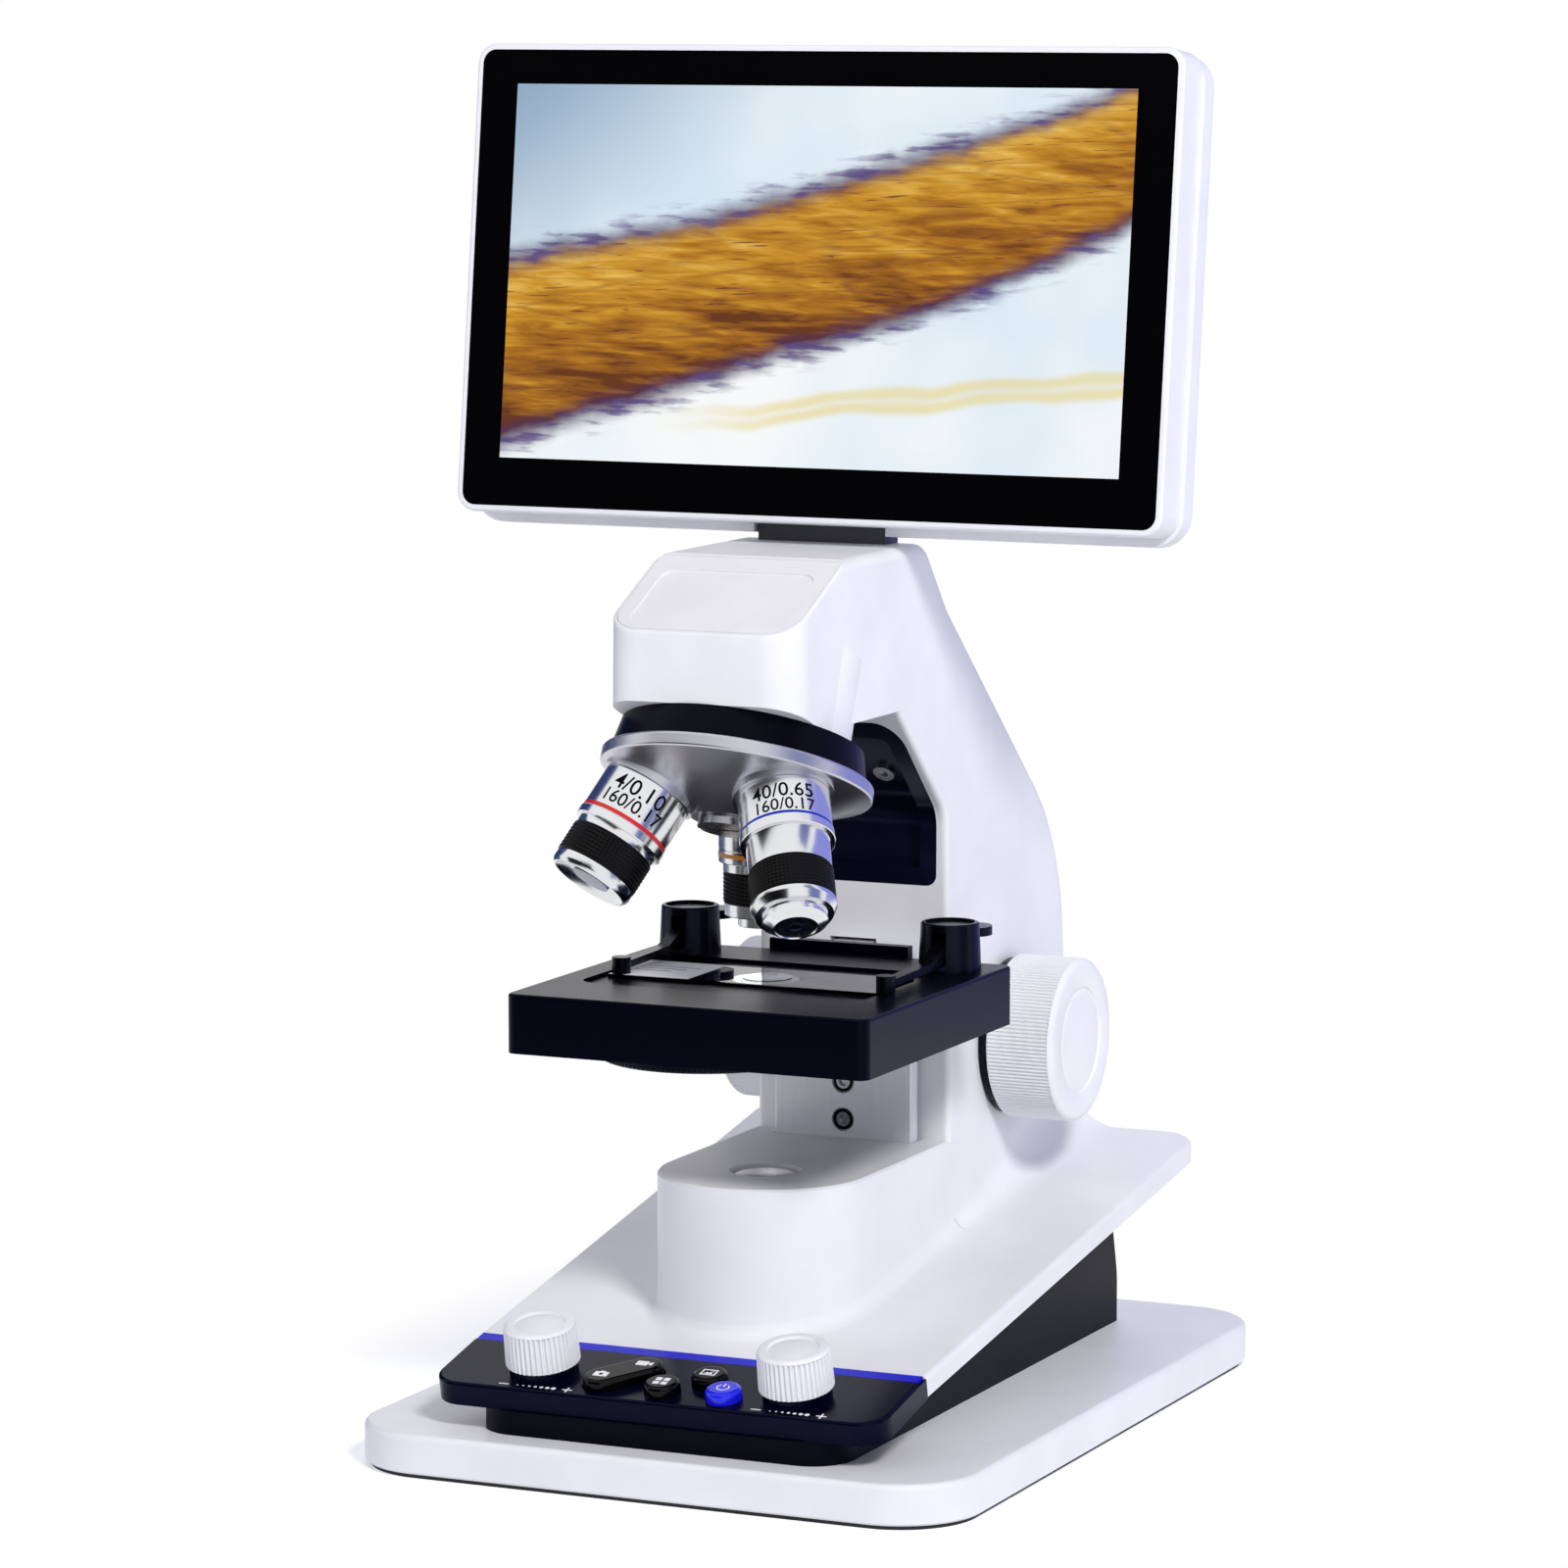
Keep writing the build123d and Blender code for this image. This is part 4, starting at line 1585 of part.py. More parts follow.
with BuildPart() as monitor_rear_shell:
    with BuildSketch(depth(BEZEL_DEPTH)):
        with Locations((0, SHELL_MIDDLE)):
            RectangleRounded(SHELL_WIDTH, SHELL_TOP - SHELL_BOTTOM, SHELL_CORNER)
    extrude(amount=BEZEL_DEPTH - SHELL_DEPTH)
    fillet(faces().sort_by(Axis((0, 0, 0), SCREEN.z_dir))[0].edges(), SHELL_EDGE)
    with BuildSketch(depth(BEZEL_DEPTH)):
        with Locations((0, -GLASS_DROP)):
            RectangleRounded(BEZEL_WIDTH - 2 * SHELL_WALL, BEZEL_HEIGHT - 2 * SHELL_WALL, GLASS_CORNER)
    extrude(amount=BEZEL_DEPTH - SHELL_DEPTH + SHELL_WALL, mode=Mode.SUBTRACT)
    # cheeks and the walls of the bay that takes the neck
    with BuildSketch(depth(BEZEL_DEPTH)):
        for side in (-1, 1):
            with Locations((side * (BAY_HALF + CHEEK_WIDTH / 2), (SHELL_BOTTOM + BAY_TOP_V + 1) / 2)):
                Rectangle(CHEEK_WIDTH, BAY_TOP_V - SHELL_BOTTOM - 1)
        with Locations((0, BAY_TOP_V + BAY_WALL / 2)):
            Rectangle(2 * (BAY_HALF + CHEEK_WIDTH), BAY_WALL)
    extrude(amount=BEZEL_DEPTH - SHELL_DEPTH + SHELL_WALL / 2)
    with BuildSketch(depth(BEZEL_DEPTH)):
        with Locations((0, (SHELL_BOTTOM - 1 + BAY_TOP_V) / 2)):
            Rectangle(2 * BAY_HALF, BAY_TOP_V - SHELL_BOTTOM + 1)
    extrude(amount=BEZEL_DEPTH - SHELL_DEPTH, mode=Mode.SUBTRACT)
    with BuildSketch(depth(BEZEL_DEPTH)):
        with Locations((0, (BAY_FRONT_BOTTOM_V + BAY_TOP_V + BAY_WALL) / 2)):
            Rectangle(2 * (BAY_HALF + CHEEK_WIDTH), BAY_TOP_V + BAY_WALL - BAY_FRONT_BOTTOM_V)
    extrude(amount=BEZEL_DEPTH - BAY_FRONT_DEPTH)
    with BuildSketch(Plane.YZ.offset(-BAY_HALF - PIN_GRIP)):
        with Locations((HINGE_Y, HINGE_Z)):
            Circle(HINGE_PIN_R + RUN / 2)
    extrude(amount=2 * (BAY_HALF + PIN_GRIP), mode=Mode.SUBTRACT)
    with BuildSketch(depth(BEZEL_DEPTH)):
        with Locations(*MONITOR_SCREWS):
            Circle(POST_R)
    extrude(amount=BEZEL_DEPTH - SHELL_DEPTH + SHELL_WALL / 2)
    with BuildSketch(depth(BEZEL_DEPTH)):
        with Locations(*MONITOR_SCREWS):
            Circle(SCREW_HOLE_R)
    extrude(amount=BEZEL_DEPTH - SHELL_DEPTH, mode=Mode.SUBTRACT)
    with BuildSketch(depth(SHELL_DEPTH)):
        with Locations(*MONITOR_SCREWS):
            Circle(SCREW_HEAD_R + AIR)
    extrude(amount=SCREW_SINK, mode=Mode.SUBTRACT)
    with BuildSketch(depth(SHELL_DEPTH)):
        with Locations(*VENTS):
            SlotOverall(VENT_LENGTH, VENT_WIDTH)
    extrude(amount=SHELL_WALL, mode=Mode.SUBTRACT)

with BuildPart() as hinge_pin:
    with BuildSketch(Plane.YZ.offset(-BAY_HALF - PIN_GRIP + STACK)):
        with Locations((HINGE_Y, HINGE_Z)):
            Circle(HINGE_PIN_R)
    extrude(amount=2 * (BAY_HALF + PIN_GRIP - STACK))

with BuildPart() as screen_neck:
    with BuildSketch(Plane.XY.offset(NECK_BOTTOM)):
        with Locations((0, HINGE_Y)):
            Rectangle(2 * NECK_HALF, NECK_THICK)
    extrude(amount=HINGE_Z - NECK_BOTTOM)
    with BuildSketch(Plane.YZ.offset(-NECK_HALF)):
        with Locations((HINGE_Y, HINGE_Z)):
            Circle(NECK_THICK / 2)
    extrude(amount=2 * NECK_HALF)
    with BuildSketch(Plane.XY.offset(NECK_BOTTOM)):
        with Locations((0, (NECK_FOOT_Y + HINGE_Y) / 2)):
            Rectangle(2 * NECK_FOOT_HALF, HINGE_Y - NECK_FOOT_Y)
    extrude(amount=HEAD_TOP - WALL - NECK_BOTTOM)
    with BuildSketch(Plane.YZ.offset(-NECK_HALF)):
        with Locations((HINGE_Y, HINGE_Z)):
            Circle(HINGE_PIN_R + RUN)
    extrude(amount=2 * NECK_HALF, mode=Mode.SUBTRACT)

# ---------------------------------------------------------------- screws
def seat(plane, x, y):
    """Plane square to a screw whose head stands at this spot of a plane."""
    return Plane(origin=plane.from_local_coords(Vector(x, y, 0)), x_dir=plane.x_dir, z_dir=plane.z_dir)


BELOW_BASE = Plane(origin=(0, 0, BASE_SCREW_SEAT), x_dir=(1, 0, 0), z_dir=(0, 0, -1))
PLATE_FACE = Plane.XZ.offset(-PLATE_FRONT - SCREW_SINK)
MONITOR_BACK = Plane(
    origin=depth(SHELL_DEPTH - SCREW_SINK).origin,
    x_dir=SCREEN.x_dir,
    z_dir=SCREEN.z_dir * -1,
)
body_seats = [seat(BELOW_BASE, x, -y) for x, y in BASE_SCREWS]
body_seats += [seat(BACK.offset(-SCREW_SINK), x, v) for x, v in REAR_SCREWS]
body_seats.append(ARCH_SLOPE.offset(-INSERT_RECESS))
SCREW_SETS = {
    "body_screws": (body_seats, SCREW_LENGTH),
    "slide_plate_screws": ([seat(PLATE_FACE, 0, z) for z in HEX_SCREW_Z], SCREW_LENGTH),
    "monitor_screws": ([seat(MONITOR_BACK, x, -v) for x, v in MONITOR_SCREWS], MONITOR_SCREW_LENGTH),
}
screw_parts = {}
for name, (seats, length) in SCREW_SETS.items():
    with BuildPart() as screw_set:
        for plane in seats:
            with BuildSketch(plane):
                Circle(SCREW_HEAD_R)
            extrude(amount=SCREW_HEAD_HEIGHT)
            with BuildSketch(plane):
                Circle(SCREW_R)
            extrude(amount=-length)
            with BuildSketch(plane.offset(SCREW_HEAD_HEIGHT)):
                RegularPolygon(SCREW_SOCKET_R, 6)
            extrude(amount=-SCREW_SOCKET_DEPTH, mode=Mode.SUBTRACT)
    screw_parts[name] = screw_set

# ---------------------------------------------------------------- pieces
PIECES = {
    "base_plate": base_plate,
    "base_pad": base_pad,
    "base_riser": base_riser,
    "main_board": main_board,
    "battery_pack": battery_pack,
    "body_shell": body_shell,
    "top_cover": facet_cover,
    "rear_cover": rear_cover,
    "arm_insert": arch_insert,
    "port_socket": port_socket,
    "illuminator_lens": lamp_lens,
    "led_module": lamp_module,
    "camera_tube": camera_tube,
    "sensor_board": camera_board,
    "guide_rails": guide_rails,
    "focus_bushes": focus_bushes,
    "friction_rings": friction_rings,
    "nosepiece_ring": nosepiece_ring,
    "nosepiece_stud": turret_stud,
    "control_panel": control_panel,
    "panel_stripe": panel_stripe,
    "rotary_encoders": rotary_encoders,
    "button_board": button_board,
    "screen_neck": screen_neck,
    "turret_disc": turret_disc,
    "objective_lenses": objective_lenses,
    "stage_plate": stage_plate,
    "stage_carriage": stage_carriage,
    "slide_plate": slide_plate,
    "rack_carriage": focus_truck,
    "focus_rack": focus_rack,
    "iris_pivot": iris_pivot,
    "iris_disc": iris_disc,
    "microscope_slide": microscope_slide,
    "clip_posts": clip_posts,
    "focus_shaft": focus_shaft,
    "focus_knobs": focus_knobs,
    "rocker_button": rocker_button,
    "screen_glass": screen_glass,
    "monitor_bezel": monitor_bezel,
    "lcd_module": lcd_module,
    "display_board": display_board,
    "monitor_rear_shell": monitor_rear_shell,
    "hinge_pin": hinge_pin,
    **{"objective_" + name: piece for name, piece in objectives.items()},
    **{"grip_" + name: piece for name, piece in grips.items()},
    **clip_levers,
    **panel_knobs,
    **buttons,
    **screw_parts,
}

for name, piece in PIECES.items():
    piece.part.label = name
    export_step(piece.part, "parts/" + name + ".step")
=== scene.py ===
import itertools
import logging
import math
from dataclasses import dataclass
from enum import Enum
from typing import Any, Optional, Sequence

import bmesh
import bpy
from mathutils import Matrix, Vector


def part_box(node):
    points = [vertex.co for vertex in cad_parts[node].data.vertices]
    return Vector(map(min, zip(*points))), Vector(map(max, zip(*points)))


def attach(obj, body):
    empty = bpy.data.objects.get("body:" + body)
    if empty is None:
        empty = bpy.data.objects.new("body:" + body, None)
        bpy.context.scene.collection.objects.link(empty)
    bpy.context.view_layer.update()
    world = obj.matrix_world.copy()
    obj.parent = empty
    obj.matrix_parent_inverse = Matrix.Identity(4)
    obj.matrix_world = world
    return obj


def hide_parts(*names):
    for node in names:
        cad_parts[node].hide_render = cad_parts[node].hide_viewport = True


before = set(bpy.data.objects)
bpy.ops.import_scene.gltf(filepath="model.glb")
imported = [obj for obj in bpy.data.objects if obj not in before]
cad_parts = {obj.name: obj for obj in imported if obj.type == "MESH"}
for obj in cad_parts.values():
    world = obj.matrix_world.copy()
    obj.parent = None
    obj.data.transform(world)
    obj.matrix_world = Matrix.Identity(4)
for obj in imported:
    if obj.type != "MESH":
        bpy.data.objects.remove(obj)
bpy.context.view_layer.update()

MM = 0.001                              # metres in a millimetre
WELD = 1e-4                             # points closer than this, in millimetres, are one
FLUTE_STEPS = 4                         # points round a ring for each flute
Colour = tuple[float, float, float]
Pair = tuple[float, float]
Triple = tuple[float, float, float]
Material = bpy.types.Material

log = logging.getLogger("microscope")


# ---- shader maths
class Value:
    """A number in a shader tree: Python's operators on it add Math nodes."""

    def __init__(self, tree: "Tree", socket: Any) -> None:
        """Keeps the tree and the socket that carries the number."""
        self.tree = tree
        self.socket = socket

    def __add__(self, other: Any) -> "Value":
        """Sum."""
        return self.tree.math("ADD", self, other)

    __radd__ = __add__

    def __mul__(self, other: Any) -> "Value":
        """Product."""
        return self.tree.math("MULTIPLY", self, other)

    __rmul__ = __mul__

    def __sub__(self, other: Any) -> "Value":
        """Difference."""
        return self.tree.math("SUBTRACT", self, other)

    def __rsub__(self, other: Any) -> "Value":
        """Difference, with the plain number first."""
        return self.tree.math("SUBTRACT", other, self)

    def __truediv__(self, other: Any) -> "Value":
        """Quotient."""
        return self.tree.math("DIVIDE", self, other)

    def __rtruediv__(self, other: Any) -> "Value":
        """Quotient, with the plain number first."""
        return self.tree.math("DIVIDE", other, self)

    def __abs__(self) -> "Value":
        """Size without sign."""
        return self.tree.math("ABSOLUTE", self)

    def smooth(self, low: float, high: float) -> "Value":
        """A soft step from 0 at low to 1 at high."""
        inputs = {"Value": self, "From Min": low, "From Max": high}
        return self.tree.value("MapRange", inputs, interpolation_type="SMOOTHSTEP")


class Tree:
    """The nodes of one material, or of the world."""

    def __init__(self, name: str, world: bool = False) -> None:
        """Makes an empty tree with its output node.

        Args:
            name: the material's or the world's name.
            world: whether it is the world's tree.
        """
        self.owner = (bpy.data.worlds if world else bpy.data.materials).new(name)
        self.owner.use_nodes = True
        self.nodes = self.owner.node_tree.nodes
        self.links = self.owner.node_tree.links
        self.nodes.clear()
        self.output = self.nodes.new("ShaderNodeOutput" + ("World" if world else "Material"))

    def node(self, kind: str, inputs: Optional[dict[Any, Any]] = None, **settings: Any) -> Any:
        """Adds any node.

        Args:
            kind: the node's type name without its prefix.
            inputs: values, nodes or sockets for its inputs, by name or by number.
            settings: properties of the node, set first; "stops" fills a colour ramp.

        Returns:
            The new node.
        """
        made = self.nodes.new("ShaderNode" + kind)
        for key, item in settings.items():
            if key == "stops":
                ramp = made.color_ramp
                while len(ramp.elements) < len(item):
                    ramp.elements.new(1.0)
                for element, (place, colour) in zip(ramp.elements, item):
                    element.position = place
                    element.color = (*colour, 1.0)
            else:
                setattr(made, key, item)
        for key, item in (inputs or {}).items():
            socket = made.inputs[key]
            if isinstance(item, Value):
                self.links.new(item.socket, socket)
            elif isinstance(item, bpy.types.Node):
                self.links.new(item.outputs[0], socket)
            elif isinstance(item, bpy.types.NodeSocket):
                self.links.new(item, socket)
            elif socket.type == "RGBA":
                socket.default_value = (*item, 1.0)
            else:
                socket.default_value = item
        return made

    def value(self, *call: Any, **settings: Any) -> Value:
        """Adds a node and wraps its first output as a number."""
        return Value(self, self.node(*call, **settings).outputs[0])

    def math(self, operation: str, *inputs: Any) -> Value:
        """Adds one Math node."""
        return self.value("Math", dict(enumerate(inputs)), operation=operation)

    def vector(self, operation: str, *inputs: Any) -> Any:
        """Adds one Vector Math node."""
        return self.node("VectorMath", dict(enumerate(inputs)), operation=operation)

    def mapped(self, vector: Any, scale: Sequence[float] = (1, 1, 1), turn: float = 0.0,
               shift: Sequence[float] = (0, 0, 0)) -> Any:
        """A vector that is scaled, turned round Y and shifted."""
        return self.node("Mapping", {"Vector": vector, "Location": tuple(shift),
                                     "Rotation": (0.0, turn, 0.0), "Scale": tuple(scale)})

    def place(self, **mapping: Any) -> Any:
        """Object coordinates, scaled, turned and shifted."""
        return self.mapped(self.node("TexCoord").outputs["Object"], **mapping)

    def split(self, vector: Any) -> list[Value]:
        """The three numbers of a vector."""
        return [Value(self, out) for out in self.node("SeparateXYZ", {0: vector}).outputs]

    def noise(self, vector: Any, scale: float, detail: float = 2.0, twist: float = 0.0) -> Value:
        """Smooth noise from 0 to 1."""
        inputs = {"Vector": vector, "Scale": scale, "Detail": detail, "Distortion": twist}
        return self.value("TexNoise", inputs)

    def mix(self, share: Any, low: Any, high: Any) -> Any:
        """Mixes two colours and returns the colour socket."""
        return self.node("Mix", {0: share, 6: low, 7: high}, data_type="RGBA").outputs[2]

    def mottle(self, share: Any, colour: Colour, low: float, high: float) -> Any:
        """Mixes two tints of one colour."""
        return self.mix(share, tint(colour, low), tint(colour, high))

    def bump(self, height: Any, depth: float) -> Any:
        """Adds a Bump node; depth is in metres."""
        return self.node("Bump", {"Height": height, "Distance": depth, "Strength": 1.0})

    def rays(self, *kinds: str) -> Value:
        """1 for rays of the given kinds, and 0 for others.

        Args:
            kinds: names of the Light Path node's outputs.

        Returns:
            The number.
        """
        path = self.node("LightPath")
        seen = Value(self, path.outputs[kinds[0]])
        for kind in kinds[1:]:
            seen = self.math("MAXIMUM", seen, path.outputs[kind])
        return seen

    def surface(self, inputs: dict[Any, Any]) -> Material:
        """Ends the tree in a Principled shader and returns the material."""
        return self.end(self.node("BsdfPrincipled", inputs))

    def end(self, shader: Any) -> Any:
        """Links the last shader and returns the material or the world."""
        self.links.new(shader.outputs[0], self.output.inputs[0])
        return self.owner


def tint(colour: Colour, factor: float) -> Colour:
    """The colour made lighter or darker."""
    return tuple(min(part * factor, 1.0) for part in colour)


# ---- finishes
@dataclass(frozen=True)
class Moulded:
    """Moulded or painted plastic with a fine spark-eroded grain."""

    name: str
    colour: Colour
    roughness: float = 0.42
    grain: float = 2600.0
    depth: float = 6e-6
    coat: float = 0.0
    specular: float = 0.5
    gleam: Colour = (1.0, 1.0, 1.0)

    def build(self) -> Material:
        """Makes the material."""
        tree = Tree(self.name)
        coords = tree.place()
        cloud = tree.noise(coords, scale=38.0, detail=3.0)
        fine = tree.noise(coords, scale=self.grain)
        return tree.surface({
            "Base Color": tree.mottle(cloud.smooth(0.3, 0.7), self.colour, 0.965, 1.02),
            "Roughness": fine.smooth(0.2, 0.8) * 0.08 + cloud * 0.05 + (self.roughness - 0.06),
            "Normal": tree.bump(fine, self.depth),
            "Coat Weight": self.coat,
            "Coat Roughness": 0.08,
            "Specular IOR Level": self.specular,
            "Specular Tint": self.gleam,
            "IOR": 1.5,
        })


@dataclass(frozen=True)
class Turned:
    """Metal turned on a lathe: fine rings round an axis."""

    name: str
    colour: Colour
    origin: Triple
    axis: Triple
    roughness: float
    pitch: float
    depth: float

    def build(self) -> Material:
        """Makes the material."""
        tree = Tree(self.name)
        coords = tree.place(shift=[-v * MM for v in self.origin])
        axis = tuple(Vector(self.axis).normalized())
        along = Value(tree, tree.vector("DOT_PRODUCT", coords, axis).outputs["Value"])
        cross = tree.vector("CROSS_PRODUCT", coords, axis)
        away = Value(tree, tree.vector("LENGTH", cross).outputs["Value"])
        place = (along + away) / (self.pitch * MM)
        inputs = {"W": place, "Scale": 1.0, "Detail": 3.0, "Roughness": 0.7}
        rings = tree.value("TexNoise", inputs, noise_dimensions="1D")
        smudge = tree.noise(coords, scale=60.0, detail=4.0).smooth(0.35, 0.75)
        return tree.surface({
            "Base Color": tree.mottle(rings, self.colour, 0.94, 1.03),
            "Metallic": 1.0,
            "Roughness": smudge * 0.07 + rings * 0.05 + (self.roughness - 0.05),
            "Normal": tree.bump(rings, self.depth),
        })


@dataclass(frozen=True)
class Brushed:
    """Flat metal brushed along one direction."""

    name: str
    colour: Colour
    stretch: Triple = (3200.0, 3200.0, 30.0)
    roughness: float = 0.32
    metal: float = 1.0

    def build(self) -> Material:
        """Makes the material."""
        tree = Tree(self.name)
        streaks = tree.noise(tree.place(scale=self.stretch), scale=1.0, detail=4.0)
        cloud = tree.noise(tree.place(), scale=25.0)
        return tree.surface({
            "Base Color": tree.mottle(streaks * 0.7 + cloud * 0.3, self.colour, 0.82, 1.08),
            "Metallic": self.metal,
            "Roughness": streaks * 0.16 + (self.roughness - 0.08),
            "Normal": tree.bump(streaks, 3e-6),
        })


@dataclass(frozen=True)
class Clear:
    """Clear or coated glass."""

    name: str
    colour: Colour
    roughness: float

    def build(self) -> Material:
        """Makes the material."""
        tree = Tree(self.name)
        dust = tree.noise(tree.place(), scale=900.0, detail=3.0)
        return tree.surface({
            "Base Color": self.colour,
            "Roughness": dust.smooth(0.55, 0.9) * 0.06 + self.roughness,
            "Transmission Weight": 1.0,
            "IOR": 1.5,
        })


@dataclass(frozen=True)
class Board:
    """Green circuit board with faint tracks."""

    name: str
    colour: Colour = (0.02, 0.16, 0.08)

    def build(self) -> Material:
        """Makes the material."""
        tree = Tree(self.name)
        inputs = {"Vector": tree.place(), "Scale": 320.0}
        tracks = tree.value("TexVoronoi", inputs, distance="MANHATTAN")
        lines = tracks.smooth(0.28, 0.34) - tracks.smooth(0.38, 0.44)
        return tree.surface({
            "Base Color": tree.mottle(lines, self.colour, 1.0, 2.2),
            "Roughness": 0.35 + lines * 0.1,
            "Normal": tree.bump(lines, 1e-5),
        })


@dataclass(frozen=True)
class Micrograph:
    """The lit picture on the screen: a stained strip of plant tissue on a pale field."""

    name: str
    centre: Triple
    tilt: float
    height: float

    def build(self) -> Material:
        """Makes the material."""
        tree = Tree(self.name)
        moved = tree.place(shift=[-v * MM for v in self.centre])
        inputs = {"Vector": moved, "Angle": self.tilt}
        turned = tree.node("VectorRotate", inputs, rotation_type="X_AXIS")
        shrink = 1.0 / (self.height * MM)
        flat = tree.vector("MULTIPLY", turned, (shrink, 0.0, shrink))
        x, _, y = tree.split(flat)
        picture = self.field(tree, flat, x, y)

        # the strip: its distance from a wavy spine, its rough edge and the hairs along it
        wave = tree.noise(flat, 1.6) - 0.5
        across = y - (x * 0.30 + x * x * 0.05 + 0.02 + wave * 0.10)
        rough = tree.noise(flat, 9.0, 6.0) - 0.5
        hairs = tree.noise(tree.mapped(flat, (7.0, 1.0, 46.0), 0.05), 1.0, 4.0)
        half = 0.215 - x * 0.03
        spread = (abs(across) + rough * 0.05) / half
        inside = 1.0 - spread.smooth(0.90, 1.06)
        rim = spread.smooth(0.74, 0.98) - spread.smooth(1.0, 1.22)
        fringe = (spread.smooth(0.86, 1.0) - spread.smooth(1.02, 1.36)) * hairs.smooth(0.50, 0.62)
        picture = tree.mix(inside, picture, self.fibres(tree, flat, across / half))
        picture = tree.mix(rim * (0.35 + hairs * 0.7), picture, (0.055, 0.022, 0.10))
        picture = tree.mix(fringe * 0.8, picture, (0.10, 0.06, 0.22))
        return tree.surface({
            "Base Color": (0.004, 0.004, 0.005),
            "Roughness": 0.12,
            "Emission Color": picture,
            "Emission Strength": 1.0,
            "Specular IOR Level": 0.25,
        })

    @staticmethod
    def fibres(tree: Tree, flat: Any, light: Value) -> Any:
        """Colours the strip with fibres, cell walls and dark threads.

        Args:
            tree: the material's tree.
            flat: the place on the picture, in picture heights.
            light: the place across the strip, from -1 to 1.

        Returns:
            The strip's colour.
        """
        along = tree.mapped(flat, (1.0, 1.0, 9.0), 0.30)
        fibre = tree.noise(along, 5.0, 7.0, 0.6)
        patch = tree.noise(tree.mapped(along, (1.6, 1.0, 0.45)), 2.2, 4.0, 0.8)
        tone = fibre * 0.55 + patch * 0.55 + light * 0.16 - 0.14
        amber = tree.node("ValToRGB", {0: tone}, stops=(
            (0.22, (0.14, 0.040, 0.010)), (0.36, (0.36, 0.135, 0.012)), (0.50, (0.60, 0.29, 0.025)),
            (0.64, (0.80, 0.50, 0.10)), (0.80, (0.96, 0.86, 0.52))))
        inputs = {"Vector": along, "Scale": 2.1}
        cells = tree.value("TexVoronoi", inputs, feature="DISTANCE_TO_EDGE")
        walls = (1.0 - cells.smooth(0.0, 0.07)) * patch.smooth(0.35, 0.65)
        strip = tree.mix(walls * 0.40, amber, (0.17, 0.055, 0.03))
        threads = tree.noise(tree.mapped(along, (2.0, 1.0, 5.0)), 4.0, 3.0, 0.5)
        return tree.mix((1.0 - threads.smooth(0.30, 0.38)) * 0.75, strip, (0.09, 0.025, 0.03))

    @staticmethod
    def field(tree: Tree, flat: Any, x: Value, y: Value) -> Any:
        """Colours the pale field, its darker corner and one faint tube.

        Args:
            tree: the material's tree.
            flat: the place on the picture, in picture heights.
            x: the place from left to right.
            y: the place from bottom to top.

        Returns:
            The field's colour.
        """
        cloud = tree.noise(flat, 1.1, 3.0).smooth(0.35, 0.7)
        pale = tree.mix(cloud, (0.66, 0.79, 0.90), (0.93, 0.95, 0.95))
        corner = (y * 0.9 - x * 0.7).smooth(0.35, 1.15)
        pale = tree.mix(corner * 0.75, pale, (0.14, 0.26, 0.42))
        branch = abs(y + 0.34 - x * 0.10 + (tree.noise(flat, 2.4) - 0.5) * 0.10)
        tube = branch.smooth(0.012, 0.05) * 0.6 + (1.0 - branch.smooth(0.0, 0.02)) * 0.3
        share = (1.0 - tube.smooth(0.05, 0.60)) * 0.65 * (x + 0.5).smooth(0.0, 0.5)
        return tree.mix(share, pale, (0.80, 0.66, 0.22))


@dataclass(frozen=True)
class Paper:
    """White paper with faint fibres."""

    name: str
    colour: Colour = (0.90, 0.90, 0.89)

    def build(self) -> Material:
        """Makes the material."""
        tree = Tree(self.name)
        fibres = tree.noise(tree.place(scale=(1.0, 2.5, 1.0)), scale=1500.0, detail=4.0)
        return tree.surface({
            "Base Color": tree.mottle(fibres, self.colour, 0.9, 1.0),
            "Roughness": 0.8 + fibres * 0.1,
            "Normal": tree.bump(fibres, 1e-5),
        })


class Finishes:
    """Every finish, built once and handed out by its description."""

    def __init__(self) -> None:
        """Starts with no material made."""
        self.made: dict[str, Material] = {}

    def get(self, finish: Any) -> Material:
        """Returns the material of a finish, making it the first time."""
        if finish.name not in self.made:
            self.made[finish.name] = finish.build()
        return self.made[finish.name]


FINISHES = Finishes()

# ---- shared places, in millimetres
TILT = math.radians(22.5)
OPTICAL_Y = -35.5
APEX = Vector((0.0, OPTICAL_Y, 219.0))
TURRET_DOWN = Vector((0.0, -math.sin(TILT), -math.cos(TILT)))
RIM_CENTRE = APEX + TURRET_DOWN * 43.3
PANEL_SLOPE = math.radians(12.4)
PANEL_UP = Vector((0.0, -math.sin(PANEL_SLOPE), math.cos(PANEL_SLOPE)))
PANEL_ORIGIN = Vector((0.0, -75.8, 30.6))
SCREEN_TILT = math.radians(6.96)
SCREEN_UP = Vector((0.0, math.sin(SCREEN_TILT), math.cos(SCREEN_TILT)))
SCREEN_OUT = Vector((0.0, -math.cos(SCREEN_TILT), math.sin(SCREEN_TILT)))
SCREEN_CENTRE = Vector((0.0, 4.4, 245.0)) + SCREEN_UP * 56.36 + SCREEN_OUT * 17.46

